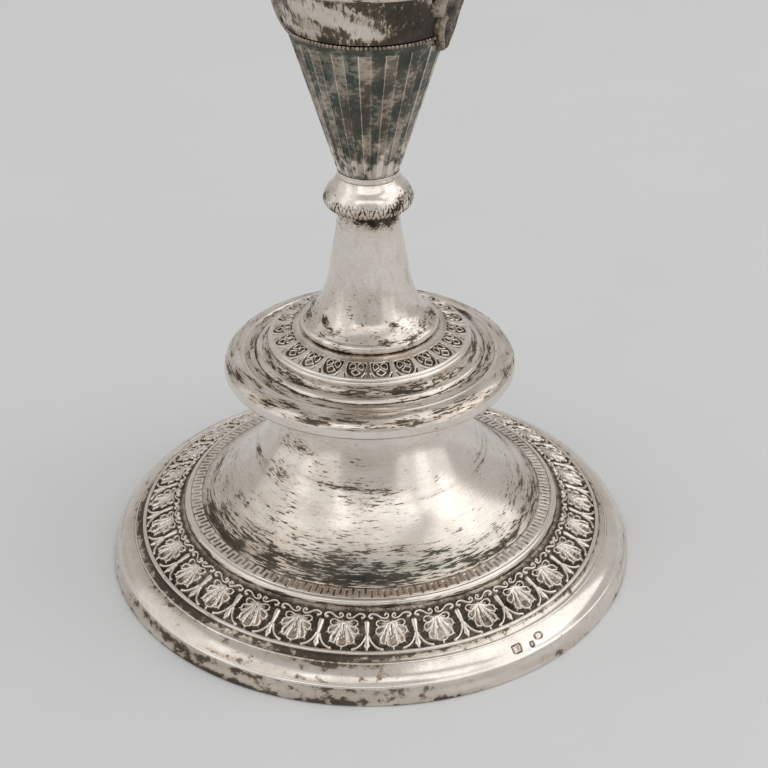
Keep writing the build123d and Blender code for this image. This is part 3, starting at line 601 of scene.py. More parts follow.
class CANDLESTICK_OT_foot(Operator):
    """Turned foot rim with its slope, ridge and cove, and the thin wire inside it"""

    bl_idname = "candlestick.foot"
    bl_label = "Foot Rim"

    def execute(self, context):
        rim = reach("foot_rim")[0] - 0.02
        outer = finer(
            path(
                (rim - 0.35, 0.0, 0.7),
                (rim, 0.35, 0.45),
                bow((rim, 0.5, 0.30), (78.45, 4.75, 0.20), 0.12),
                bow((78.40, 4.95, 0.0), (77.85, 5.55, 0.0), 0.10),
                bow((77.80, 5.62, 0.0), (73.20, 8.90, 0.24), 0.48),
                (73.12, 8.84, 0.6),
                bow((73.05, 8.92, 0.1), (72.50, 9.16, 0.1), 0.14),
                (72.42, 9.04, 0.7),
                bow((72.35, 9.00, 0.38), (70.75, 10.08, 0.85), -0.28),
                (70.6, 10.2, 0.9),
            ),
            0.3,
        )
        back = path((70.6, 9.0, 0.8), (72.2, 7.7, 0.7), (74.6, 6.6, 0.6), (77.2, 4.4, 0.6), (78.8, 0.0, 0.8))
        marks = math.radians(-36.5)
        fine = marks + np.radians(np.arange(-6.0, 6.01, 0.14))
        coarse = even_angles(300)
        coarse = coarse[np.abs((coarse - marks + math.pi) % FULL_TURN - math.pi) > math.radians(6.3)]
        angles = np.sort(np.r_[fine % FULL_TURN, coarse])
        radius, level = outer[:, :1], outer[:, 1:2]
        left = facing(angles, FRONT - 0.75, 1.2)
        height = 0.03 * drift(angles, 2.0 * radius, 11, turns=14, pitch=9.0) * ease(5.0, 7.0, level)
        face = ease(5.0, 4.7, level)
        tarnish_and_shade = face * (0.20 * drift(angles, 3.0 * level, 12, turns=14, pitch=9.0) - 0.10)
        tarnish_and_shade = tarnish_and_shade + face * (0.40 * facing(angles, FRONT - 0.3, 1.3)
                              + 0.25 * facing(angles, FRONT + 1.5, 0.7))
        tarnish_and_shade = tarnish_and_shade - 0.30 * facing(angles, FRONT + 0.8, 0.9)
        low_slope = ease(5.5, 5.9, level) * ease(7.6, 6.2, level)
        tarnish_and_shade = tarnish_and_shade + low_slope * left * (0.16 + 0.36 * drift(angles, 2.0 * level, 13, turns=26, pitch=7.0))
        streaks = left + drift(angles, 2.0 * level, 14, turns=14, pitch=5.0) - 0.3
        tarnish_and_shade = tarnish_and_shade + 0.12 * ease(8.0, 8.8, level) * streaks
        tarnish_and_shade = tarnish_and_shade + 0.05 * facing(angles, FRONT - 0.3, 1.5) * ease(5.4, 5.8, level)
        # one row a mark: place round the foot in degrees, place up the slope, half width, half height,
        # squareness
        for place, middle, half_width, half_height, power in (
            (-2.8, 0.0, 1.55, 1.45, 6.0),
            (1.0, -0.7, 0.9, 1.1, 2.0),
            (3.3, 0.7, 1.5, 1.3, 3.0),
        ):
            across = (angles - marks - math.radians(place)) * MARKS_RADIUS
            across = (across + math.pi * MARKS_RADIUS) % (FULL_TURN * MARKS_RADIUS) - math.pi * MARKS_RADIUS
            up = (MARKS_LINE - radius) * 1.35 - middle
            oval = np.abs(across / half_width) ** power + np.abs(up / half_height) ** power
            dent = 1.0 - ease(0.8, 1.25, oval)
            pad = ease(0.30, 0.10, oval)
            height = height - (0.16 - 0.08 * pad) * dent
            tarnish_and_shade = tarnish_and_shade + (0.85 - 0.35 * pad) * dent
        turned("foot_rim_silver", "foot_rim", outer, back, finish_named("old_stained_silver"), angles,
               height, tarnish_and_shade)
        wire = path(
            (70.58, 9.95, 0.9),
            bow((70.55, 10.1, 0.25), (69.45, 10.75, 0.1), 0.42),
            (69.42, 10.55, 0.9),
        )
        seat = path((69.4, 9.3, 0.9), (70.55, 9.05, 0.9))
        turned("band_wire_silver", "band_wire", wire, seat, finish_named("old_turned_silver"),
               even_angles(360))
        return {"FINISHED"}


def palmette_field(x, y):
    """Height from 0 to 1 of one palmette, its two scrolls and the upright rod between two of them."""
    x = np.abs(x)
    scroll = through(
        (1.45, 2.65), (1.6, 2.2), (1.1, 1.95), (0.6, 2.45), (0.75, 3.1), (1.55, 3.45), (2.4, 3.2), (3.1, 2.7),
        (3.9, 2.15), (4.9, 1.95), (5.8, 2.3), (5.95, 2.9), (5.4, 3.3), count=4)
    tendril = through((6.15, 8.6), (5.8, 9.8), (5.05, 11.15), (4.0, 12.25), (2.9, 12.75), count=4)
    strokes = (
        (scroll, np.interp(np.linspace(0.0, 1.0, len(scroll)), [0.0, 0.5, 1.0], [0.32, 0.40, 0.44])),
        (tendril, np.linspace(0.30, 0.52, len(tendril))),
        ([(0.3, 5.0), (0.32, 8.0), (0.2, 9.6)], (0.24, 0.22, 0.08)),
        (through((0.3, 5.0), (0.95, 8.3), (1.35, 10.9), (0.95, 11.8), (0.0, 12.1), count=3), 0.33),
        ([(0.0, 11.9), (0.0, 13.0)], (0.42, 0.2)),
        ([(0.5, 5.0), (1.3, 8.0), (2.0, 10.9)], 0.29),
        (through((0.8, 5.0), (2.2, 7.8), (3.1, 9.3), (3.05, 10.7), (2.1, 11.15), count=3), 0.33),
        ([(3.0, 10.5), (3.5, 11.2)], (0.4, 0.15)),
        (through((0.9, 5.0), (2.4, 7.4), (3.7, 8.35), count=3), 0.30),
        (through((1.0, 5.0), (2.6, 5.9), (3.85, 6.4), (4.15, 7.4), (3.7, 8.35), count=3), 0.33),
        ([(4.1, 7.8), (4.7, 8.2)], (0.36, 0.15)),
        (through((1.0, 5.2), (2.4, 6.0), (3.0, 5.9), (3.85, 5.3), (3.85, 4.4), (2.9, 4.0),
                 (1.8, 4.3), (1.0, 4.6),
                 count=3), 0.31),
        ([(1.2, 4.95), (3.2, 4.95)], (0.24, 0.10)),
        ([(6.625, 4.7), (6.625, 5.6), (6.625, 8.3), (6.625, 9.0), (6.625, 10.2), (6.625, 11.5),
          (6.625, 12.8)],
         (0.95, 0.90, 0.58, 0.46, 0.62, 0.95, 0.3)),
    )
    body = 0.27 * ease(1.08, 0.94, (x / 3.7) ** 2 + ((y - 7.9) / 4.1) ** 2)
    top = np.maximum(body, 1.0 - np.abs(x / 1.45) ** 3 - ((y - 4.75) / 0.7) ** 2)
    for line, widths in strokes:
        top = np.maximum(top, ridge(x, y, line, widths))
    top = np.maximum(top, 1.0 - ((x - 5.2) / 0.55) ** 2 - ((y - 3.2) / 0.55) ** 2)
    return np.clip(top, 0.0, 1.0)


class CANDLESTICK_OT_palmettes(Operator):
    """Chased band of palmettes, rods and scrolls round the foot, in three arcs"""

    bl_idname = "candlestick.palmettes"
    bl_label = "Palmette Band"

    def execute(self, context):
        sizes = context.scene.candlestick_sizes
        outer_radius, inner_radius, low, high = 69.4, 57.4, 10.72, 16.22
        rows, unit_columns = 86, 74
        share = np.linspace(0.0, 1.0, rows)
        outer = np.stack([outer_radius + (inner_radius - outer_radius) * share, low + (high - low) * share,
                          0 * share], 1)
        pitch = FULL_TURN / sizes.palmettes
        first = math.radians(-90.3)
        angles = first + 0.5 * pitch + np.arange(sizes.palmettes * unit_columns + 1) * pitch / unit_columns
        length = math.hypot(outer_radius - inner_radius, high - low)
        y = length * (1.0 - share[:, None]) + 0.10 * drift(angles, 0.5 * outer[:, :1], 21,
                                                           turns=60, pitch=9.0)
        x = ((angles - first) / pitch + 0.5) % 1.0 - 0.5
        x = x * 13.25 + 0.12 * drift(angles, outer[:, :1], 22, turns=45, pitch=12.0)
        top = palmette_field(x, y)
        ground = 0.05 * drift(angles, outer[:, :1], 23, turns=400, pitch=1.2, count=24)
        relief = sizes.palmette_relief / MM
        height = -0.42 + relief * top**0.7 + ground * (1.0 - top)
        height *= ease(0.0, 0.25, y) * ease(length, length - 0.2, length * (1.0 - share[:, None]))
        tarnish_and_shade = 0.86 - 0.84 * ease(0.10, 0.50, top) - 0.30 * ease(1.8, 0.4, y) - 0.2 * ease(12.9, 13.2, y)
        tarnish_and_shade = tarnish_and_shade + 0.08 * drift(angles, outer[:, :1], 24, turns=20, pitch=9.0)
        back = np.array([[inner_radius, high - 1.2, 0.7], [outer_radius, low - 1.2, 0.7]])
        line = np.vstack([outer, back])
        points = revolve(line, angles, height)
        tarnish_and_shade = np.vstack([tarnish_and_shade, np.full((2, len(angles)), 0.7)])
        third = sizes.palmettes * unit_columns // 3
        for number, name in enumerate(("palmettes_a_silver", "palmettes_b_silver", "palmettes_c_silver")):
            part = slice(number * third, (number + 1) * third + 1)
            grid = (points[:, part], tarnish_and_shade[:, part], 0.0, True, False, "columns")
            make_piece(name, [grid], "palmette_band", finish_named("old_chased_silver"), crease=70.0,
                       slot="tarnished_silver")
        return {"FINISHED"}


class CANDLESTICK_OT_bell(Operator):
    """Bell of the foot with its rounded rim, and the ring engraved with a Greek key"""

    bl_idname = "candlestick.bell"
    bl_label = "Bell and Key"

    def execute(self, context):
        sizes = context.scene.candlestick_sizes
        outer = finer(
            path(
                (57.4, 16.1, 0.8),
                bow((57.35, 16.35, 0.7), (56.95, 17.2, 0.2), 0.08),
                bow((56.95, 17.2, 0.1), (55.95, 17.85, 0.0), 0.22),
                (55.7, 17.75, 0.1),
                (55.38, 18.0, 0.25),
                (55.36, 17.5, 0.9),
                (51.74, 18.1, 0.9),
                (51.74, 18.62, 0.5),
                bend((51.7, 18.68, 0.42), (43.0, 24.5, 0.06), (26.7, 39.0, 0.0),
                     (25.6, 53.9, 0.08), count=90),
                (25.6, 54.0, 0.1),
            ),
            1.0,
        )
        back = path(
            bend((24.6, 54.0, 0.6), (26.0, 37.0, 0.6), (42.0, 23.2, 0.6), (51.4, 17.45, 0.6), count=24),
            (51.8, 16.8, 0.7), (54.8, 16.8, 0.7), (56.2, 15.0, 0.7), (57.38, 15.0, 0.7))
        angles = even_angles(400)
        radius = outer[:, :1]
        level = outer[:, 1:2]
        on_bell = ease(51.8, 51.2, radius)
        front = facing(angles, FRONT, 1.5)
        streaks = 0.04 + 0.16 * front + 0.16 * drift(angles, 3 * radius, 30, 10, 9.0)
        tarnish_and_shade = on_bell * hump(radius, 49.0, 5.5) * streaks
        streaks = np.maximum(drift(angles, 2 * radius, 31, 12, 9.0), 0)
        tarnish_and_shade = tarnish_and_shade + on_bell * hump(radius, 45.5, 7.0) * streaks * 0.22
        streaks = np.maximum(drift(angles, 6 * radius, 32, 7, 6.0) - 0.1, 0.0)
        tarnish_and_shade = tarnish_and_shade + hump(radius, 33.5, 4.5) * streaks * 0.26
        tarnish_and_shade = tarnish_and_shade + hump(level, 46.0, 4.0) * np.maximum(drift(angles, level, 33, 9, 9.0) - 0.1, 0.0) * 0.26
        streaks = 0.14 + 0.08 * drift(angles, 3 * radius, 37, 12, 7.0)
        tarnish_and_shade = tarnish_and_shade + on_bell * facing(angles, FRONT - 0.6, 1.1) * streaks
        tint = 0.6 * hump(radius, 47.5, 5.5) * facing(angles, FRONT + 0.3, 0.9) * on_bell
        height = on_bell * 0.05 * drift(angles, radius, 34, turns=9, pitch=16.0)
        turned("bell_silver", "foot_bell", outer, back, finish_named("old_turned_silver"), angles,
               height, tarnish_and_shade, tint)

        columns = 22
        pitch = FULL_TURN / sizes.key_slots
        angles = math.radians(-90.0 + 0.18) + np.arange(sizes.key_slots * columns) * pitch / columns
        rows = np.linspace(55.33, 51.77, 36)
        line = np.stack([rows, 18.05 + (55.3 - rows) * 0.171, 0.06 + 0.0 * rows], axis=1)
        y = rows[:, None] - 51.85
        outward = (((angles - angles[0]) / pitch + 0.5) % 1.0 - 0.5) * pitch * 53.5
        inward = (((angles - angles[0]) / pitch) % 1.0 - 0.5) * pitch * 53.5
        slot = ease(0.42, 0.30, np.abs(outward)) * ease(0.80, 0.95, y)
        slot = np.maximum(slot, ease(0.42, 0.30, np.abs(inward)) * ease(2.58, 2.44, y))
        border = np.maximum(ease(0.24, 0.12, np.abs(y)), 0.8 * ease(0.16, 0.06, np.abs(y - 3.42)))
        cut = np.maximum(slot * ease(-0.1, 0.05, y), border)
        worn = 0.78 + 0.22 * drift(angles, rows[:, None], 35, turns=24, pitch=6.0)
        height = -sizes.key_depth / MM * cut
        tarnish_and_shade = 0.62 * cut * worn + 0.08 * drift(angles, rows[:, None], 36, turns=16, pitch=6.0)
        back = np.array([[51.79, 18.12, 0.8], [55.31, 17.53, 0.8]])
        turned("greek_key_silver", "foot_bell", line, back, finish_named("old_chased_silver"), angles,
               height, tarnish_and_shade,
               crease=70.0)
        return {"FINISHED"}


class CANDLESTICK_OT_disc(Operator):
    """Stepped disc: its shell from below, its curved edge and top, and the small stepped ring"""

    bl_idname = "candlestick.disc"
    bl_label = "Stepped Disc"

    def execute(self, context):
        turned_silver = finish_named("old_turned_silver")
        under = path(
            (25.6, 54.0, 0.1),
            bend((25.6, 54.3, 0.3), (25.75, 58.2, 0.15), (28.6, 59.7, 0.15), (32.6, 60.2, 0.2), count=18),
            (37.0, 60.85, 0.25),
            (41.5, 61.6, 0.4),
        )
        back = path((41.4, 62.5, 0.7), (32.4, 61.15, 0.7), (26.6, 59.0, 0.7), (24.65, 54.02, 0.7))
        turned("disc_underside_silver", "disc_underside", under, back, turned_silver)
        edge = finer(
            path(
                (41.5, 61.66, 0.5),
                bow((41.75, 61.62, 0.15), (42.72, 62.35, 0.0), 0.18),
                bow((42.78, 62.5, 0.0), (42.5, 64.6, 0.05), 0.08),
                bow((42.35, 64.9, 0.34), (37.6, 67.42, 0.20), 0.78),
                bow((37.35, 67.62, 0.0), (36.7, 67.5, 0.03), 0.07),
                (36.5, 67.3, 0.4),
                bow((36.4, 67.22, 0.34), (33.75, 67.62, 0.40), -0.15),
                (33.62, 67.7, 0.8),
            ),
            0.45,
        )
        back = path((33.6, 66.7, 0.7), (36.4, 66.1, 0.7), (39.8, 65.0, 0.7), (41.4, 62.65, 0.7))
        angles = even_angles(360)
        radius = edge[:, :1]
        band = ease(42.5, 41.9, radius) * ease(37.3, 38.2, radius)
        tarnish_and_shade = band * (0.17 * drift(angles, 3.0 * radius, 41, turns=20, pitch=6.0)
                       + 0.12 * facing(angles, FRONT, 1.5))
        tarnish_and_shade = tarnish_and_shade + 0.18 * ease(36.6, 36.2, radius) * drift(angles, 3.0 * radius, 42, turns=12, pitch=6.0)
        height = 0.03 * drift(angles, radius, 43, turns=10, pitch=9.0)
        turned("disc_top_silver", "disc_top", edge, back, turned_silver, angles, height, tarnish_and_shade)
        step = finer(
            path(
                (33.58, 67.75, 0.9),
                bow((33.3, 67.95, 0.35), (31.7, 68.75, 0.02), 0.32),
                (31.45, 68.78, 0.4),
                bow((31.3, 68.85, 0.52), (29.75, 71.3, 0.32), -0.62),
                bow((29.7, 71.45, 0.12), (28.95, 72.3, 0.0), 0.2),
            ),
            0.3,
        )
        back = path((28.92, 71.35, 0.8), (29.9, 68.6, 0.8), (32.2, 67.0, 0.8), (33.55, 66.8, 0.8))
        radius = step[:, :1]
        tarnish_and_shade = 0.15 * drift(angles, 4.0 * radius, 44, turns=16, pitch=6.0) * ease(28.9, 30.2, radius)
        tarnish_and_shade = tarnish_and_shade + 0.16 * facing(angles, FRONT, 1.2) * hump(radius, 30.6, 1.4)
        turned("step_ring_silver", "step_ring", step, back, turned_silver, angles, tarnish_and_shade=tarnish_and_shade)
        return {"FINISHED"}


def heart_leaf_field(x, y):
    """Ground 1 and depth 0 of a sunk shield that holds two lobe rings and a kite; y runs outward."""
    x = np.abs(x)
    half_width = 2.75 * np.sqrt(np.clip(1.0 - (np.maximum(y - 4.2, 0.0) / 5.0) ** 2, 0.0, 1.0))
    inside = ease(0.12, -0.16, x - half_width) * ease(3.0, 3.4, y)
    lobe = through(
        (0.25, 4.3), (0.5, 3.7), (1.1, 3.45), (1.75, 3.75), (2.05, 4.6), (1.9, 5.5), (1.55, 6.0), (1.0, 5.55),
        (0.45, 5.1), (0.25, 4.3), count=3)
    kite = through((0.0, 5.5), (0.6, 6.3), (1.2, 6.95), (0.75, 7.7), (0.0, 8.4), count=3)
    top = ridge(x, y, lobe, 0.25)
    top = np.maximum(top, ridge(x, y, kite, 0.30))
    eye = 0.4 * np.clip(1.0 - ((x - 1.15) / 0.45) ** 2 - ((y - 4.7) / 0.65) ** 2, 0.0, 1.0)
    top = np.maximum(top, eye)
    slit = ridge(x, y, [(2.85, 7.6), (2.2, 9.1)], (0.2, 0.35))
    level = 1.0 - inside * (1.0 - np.clip(top, 0.0, 1.0) ** 0.7)
    return level - 0.8 * np.clip(slit, 0.0, 1.0) * (1.0 - inside)


class CANDLESTICK_OT_leaf_band(Operator):
    """Small band of heart-shaped leaves in sunk shields"""

    bl_idname = "candlestick.leaf_band"
    bl_label = "Leaf Band"

    def execute(self, context):
        sizes = context.scene.candlestick_sizes
        columns = 50
        pitch = FULL_TURN / sizes.leaves
        first = math.radians(25.9 - 90.0)
        angles = first + np.arange(sizes.leaves * columns) * pitch / columns
        outer = finer(
            path(
                (28.9, 71.6, 0.2),
                bow((28.95, 72.35, 0.0), (28.2, 73.05, 0.0), 0.18),
                through((28.2, 73.05, 0.0), (25.0, 74.0, 0.0), (22.0, 74.95, 0.0), (19.45, 75.62, 0.0)),
            ),
            0.19,
        )
        # hand-spaced: the leaves stand a little closer together at the front
        turned_by = angles - first + 0.026 * (np.sin(angles - FRONT) - math.sin(first - FRONT))
        x = ((turned_by / pitch + 0.5) % 1.0 - 0.5) * pitch * 24.5
        y = 1.113 * outer[:, :1] - 22.03
        x = x + 0.12 * drift(angles, outer[:, :1], 51, turns=40, pitch=6.0)
        y = y + 0.12 * drift(angles, outer[:, :1], 52, turns=40, pitch=6.0)
        level = heart_leaf_field(x, y)
        bearing = ease(19.9, 20.6, outer[:, :1]) * ease(28.6, 28.2, outer[:, :1])
        sunk = (1.0 - level) * bearing
        height = -sizes.leaf_relief / MM * sunk
        tarnish_and_shade = 0.74 * ease(0.10, 0.62, sunk) + 0.04 + 0.08 * drift(angles, outer[:, :1], 53,
                                                                   turns=20, pitch=6.0)
        # the second term darkens the band inside r 20.8 mm: a painted shadow under the stem's flange
        tarnish_and_shade = tarnish_and_shade + 0.22 * hump(outer[:, :1], 22.4, 1.8) + 0.3 * ease(20.8, 20.4, outer[:, :1])
        tarnish_and_shade = tarnish_and_shade * ease(28.9, 28.1, outer[:, :1])
        back = path((16.4, 75.6, 0.7), (16.4, 74.5, 0.7), (24.8, 73.0, 0.7), (28.85, 71.3, 0.7))
        turned("leaf_band_silver", "leaf_band", outer, back, finish_named("old_chased_silver"), angles,
               height, tarnish_and_shade,
               crease=70.0, slot="tarnished_silver")
        return {"FINISHED"}


def knop_leaf_field(x, y):
    """Depth from 0 to 1 of the engraving of one pointed leaf: two sides, a vein and a dot between leaves."""
    x = np.abs(x)
    cut = ridge(x, y, through((0.0, 0.2), (0.8, 2.2), (1.6, 4.4), (2.35, 6.2), count=4), 0.40)
    cut = np.maximum(cut, ridge(x, y, [(0.0, 2.9), (0.0, 5.6)], (0.35, 0.12)))
    cut = np.maximum(cut, ridge(x, y, [(0.75, 5.0), (1.1, 6.4)], (0.30, 0.12)))
    return np.clip(np.maximum(cut, ridge(x, y, [(2.35, 0.6), (2.35, 2.6)], (0.7, 0.3))), 0.0, 1.0)


class CANDLESTICK_OT_stem(Operator):
    """Trumpet-shaped stem with its flange, the chased knop above it and the collar under the cup"""

    bl_idname = "candlestick.stem"
    bl_label = "Stem and Knop"

    def execute(self, context):
        sizes = context.scene.candlestick_sizes
        turned_silver = finish_named("old_turned_silver")
        outer = finer(
            path(
                (19.2, 75.64, 0.9),
                bow((19.5, 75.7, 0.6), (20.1, 76.3, 0.05), 0.12),
                bow((20.12, 76.45, 0.0), (19.85, 77.5, 0.0), 0.06),
                bow((19.7, 77.65, 0.1), (18.9, 78.2, 0.25), 0.05),
                through(
                    (18.8, 78.3, 0.3), (16.4, 80.5, 0.2), (14.4, 83.3, 0.15), (12.5, 88.8, 0.08),
                    (11.55, 92.6, 0.06),
                    (10.96, 96.4, 0.04), (10.3, 100.0, 0.05), (9.6, 104.0, 0.05), (9.15, 107.2, 0.1),
                    (8.9, 110.0, 0.2),
                    (8.8, 112.5, 0.6)),
            ),
            0.6,
        )
        back = path(
            (7.8, 112.5, 0.8),
            bend((7.8, 112.4, 0.8), (10.3, 88.5, 0.8), (13.0, 80.4, 0.8), (17.5, 76.9, 0.8), count=20),
            (16.6, 75.64, 0.8))
        angles = even_angles(288)
        level = outer[:, 1:2]
        front = facing(angles, FRONT + 0.35, 1.1)
        tarnish_and_shade = front * hump(level, 111.0, 3.4) * (0.50 + 0.20 * drift(angles, level, 61, turns=24, pitch=4.0))
        streaks = np.maximum(drift(angles, 2.0 * level, 62, turns=16, pitch=6.0), 0.0)
        tarnish_and_shade = tarnish_and_shade + 0.30 * ease(86.0, 80.0, level) * streaks
        tarnish_and_shade = tarnish_and_shade + 0.14 * np.maximum(drift(angles, 0.6 * level, 63, turns=20, pitch=5.0) - 0.4, 0.0)
        height = 0.025 * drift(angles, level, 64, turns=7, pitch=12.0) * ease(78.0, 84.0, level)
        turned("trumpet_stem_silver", "trumpet_stem", outer, back, turned_silver, angles, height, tarnish_and_shade)

        knop = finer(
            through(
                (10.6, 112.65, 0.6), (12.0, 113.6, 0.2), (12.66, 115.6, 0.05), (11.7, 118.1, 0.02),
                (10.0, 120.1, 0.05),
                (8.75, 121.9, 0.2)),
            0.22,
        )
        back = path((3.5, 121.9, 0.8), (3.5, 121.0, 0.8), (8.1, 121.0, 0.8), (10.9, 118.2, 0.8),
                    (11.6, 115.5, 0.8),
                    (11.0, 114.4, 0.8), (9.9, 113.65, 0.8), (3.5, 113.65, 0.8), (3.5, 112.65, 0.8))
        columns = 30
        pitch = FULL_TURN / sizes.knop_leaves
        first = math.radians(19.6 - 90.0)
        angles = first + np.arange(sizes.knop_leaves * columns) * pitch / columns
        x = (((angles - first) / pitch + 0.5) % 1.0 - 0.5) * 4.7 + 0.12 * drift(angles, knop[:, :1],
                                                                                65, 12, 5.0)
        y = np.r_[0.0, np.cumsum(np.hypot(*np.diff(knop[:, :2], axis=0).T))][:, None]
        y = 1.1 * y + 0.2 + 0.14 * drift(angles, knop[:, :1], 66, turns=14, pitch=5.0)
        cut = knop_leaf_field(x, y) * ease(6.9, 5.8, y) * ease(0.0, 0.5, y)
        height = -0.22 * cut + 0.02 * drift(angles, knop[:, 1:2], 67, turns=8, pitch=8.0)
        side = np.maximum(facing(angles, FRONT - 1.3, 0.8), facing(angles, FRONT + 1.2, 0.9))
        worn = drift(angles, knop[:, 1:2], 68, turns=12, pitch=5.0)
        tarnish_and_shade = 0.52 * cut + 0.16 * ease(3.2, 0.0, y) + side * (0.28 + 0.22 * worn) * ease(121.0, 118.0,
                                                                                          knop[:, 1:2])
        tarnish_and_shade = tarnish_and_shade + facing(angles, FRONT + 0.2, 0.9) * hump(knop[:, 1:2], 115.4, 1.3) * (0.26 + 0.3 * worn)
        turned("stem_knop_silver", "stem_knop", knop, back, turned_silver, angles, height, tarnish_and_shade, crease=70.0)

        collar = path(
            (8.45, 122.0, 0.4), bow((8.6, 122.03, 0.15), (8.62, 122.78, 0.2), 0.12), (8.6, 122.8, 0.3),
            bow((8.64, 122.83, 0.1), (8.64, 123.57, 0.15), 0.1), (8.5, 123.6, 0.4))
        seat = path((3.5, 123.6, 0.9), (3.5, 122.0, 0.9))
        turned("cup_collar_silver", "cup_collar", collar, seat, turned_silver, even_angles(144))
        return {"FINISHED"}


class CANDLESTICK_OT_cup(Operator):
    """Tarnished cup with its flat strips, the beads over them, the plain waist band and its ring"""

    bl_idname = "candlestick.cup"
    bl_label = "Fluted Cup"

    def execute(self, context):
        sizes = context.scene.candlestick_sizes
        tarnished = finish_named("cup_tarnish")
        bead_z = 164.55
        steps = np.array([0.0, 0.16, 0.6, 1.0])
        levels = np.r_[123.6 + steps * 0.8, np.linspace(124.62, 162.0, 120), 162.18, 162.6, 163.2, 163.8]
        line = np.stack([cup_radius(levels), levels, 0.0 * levels], axis=1)
        pitch = 360.0 / sizes.strips
        unit = np.array([0.0, 0.25, 0.6, 1.0, 2.5, 4.0, 5.5, 7.0, 8.5, 9.4, 9.75, 10.0, 12.0, 14.0, 16.0,
                         18.0, 19.4])
        degrees = (unit * pitch / 20.0)[None, :] + pitch * np.arange(sizes.strips)[:, None]
        angles = np.radians(11.9 - 90.0 + degrees.ravel())
        offset = np.tile(unit, sizes.strips)
        across = ease(0.0, 0.3, offset) * ease(10.0, 9.7, offset)
        level = line[:, 1:2]
        inside = ease(124.45, 124.6, level) * ease(162.2, 162.05, level)
        strip = across * inside
        height = sizes.strip_height / MM * (strip - 1.0)
        edge = np.maximum(hump(offset, 0.35, 0.75), 0.6 * hump(offset, 9.7, 0.5)) * inside
        patch = drift(angles, level, 71, turns=7, pitch=16.0)
        patch2 = drift(angles, level, 72, turns=16, pitch=7.0)
        polished = ease(131.0, 126.5, level + 2.5 * patch2
                        + 2.5 * drift(angles, level, 75, 50, 2.5)) * (0.6 + 0.4 * strip)
        upper_front = facing(angles, FRONT + 0.1, 0.6) * ease(154.0, 159.0, level + 3.0 * patch2)
        polished = np.clip(polished + 0.4 * upper_front * strip, 0.0, 1.0)
        heavy = facing(angles, FRONT + 0.1, 0.8) * hump(level, 146.0, 12.0)
        tarnish_and_shade = 0.63 + 0.05 * patch + 0.08 * patch2 - 0.08 * strip + 0.08 * heavy * strip
        tarnish_and_shade = tarnish_and_shade - 0.42 * edge - 0.42 * polished
        tint = np.clip(0.75 - 0.60 * strip + 0.35 * patch2, 0.0, 1.0)
        back = path((cup_radius(163.8) - 1.0, 163.8, 0.8), (8.05, 124.6, 0.8), (3.5, 124.6, 0.8),
                    (3.5, 123.6, 0.8))
        turned("fluted_cup_silver", "fluted_cup", line, back, tarnished, angles, height, tarnish_and_shade, tint,
               crease=35.0, slot="tarnished_silver")

        bead_ring("bead_wire_silver", "bead_wire", cup_radius(bead_z) - 0.02, bead_z, 0.62, sizes.waist_beads,
                  finish_named("old_chased_silver"), worn=0.58, slot="tarnished_silver")

        levels = np.linspace(165.35, 177.15, 40)
        line = np.stack([cup_radius(levels), levels, 0.0 * levels], axis=1)
        angles = even_angles(288)
        level = line[:, 1:2]
        patch = drift(angles, level, 73, turns=6, pitch=14.0) + 0.5 * drift(angles, level, 74,
                                                                            turns=18, pitch=6.0)
        dark_side = facing(angles, FRONT + 0.75, 0.8)
        blotch = ease(-0.3, 0.7, patch + 1.3 * dark_side)
        tarnish_and_shade = 0.22 + 0.50 * blotch + 0.32 * dark_side + 0.5 * ease(168.0, 165.8, level)
        back = path((cup_radius(177.15) - 1.0, 177.15, 0.8), (cup_radius(165.35) - 1.0, 165.35, 0.8))
        turned("waist_band_silver", "waist_band", line, back, finish_named("old_stained_silver"), angles,
               tarnish_and_shade=tarnish_and_shade, slot="tarnished_silver")

        ring = path(
            (25.45, 177.2, 0.6), bow((25.5, 177.22, 0.3), (25.5, 179.58, 0.3), 1.12, count=16),
            (25.4, 179.6, 0.6))
        seat = path((23.4, 179.6, 0.8), (23.4, 177.2, 0.8))
        turned("waist_ring_silver", "waist_ring", ring, seat, finish_named("old_turned_silver"))
        return {"FINISHED"}


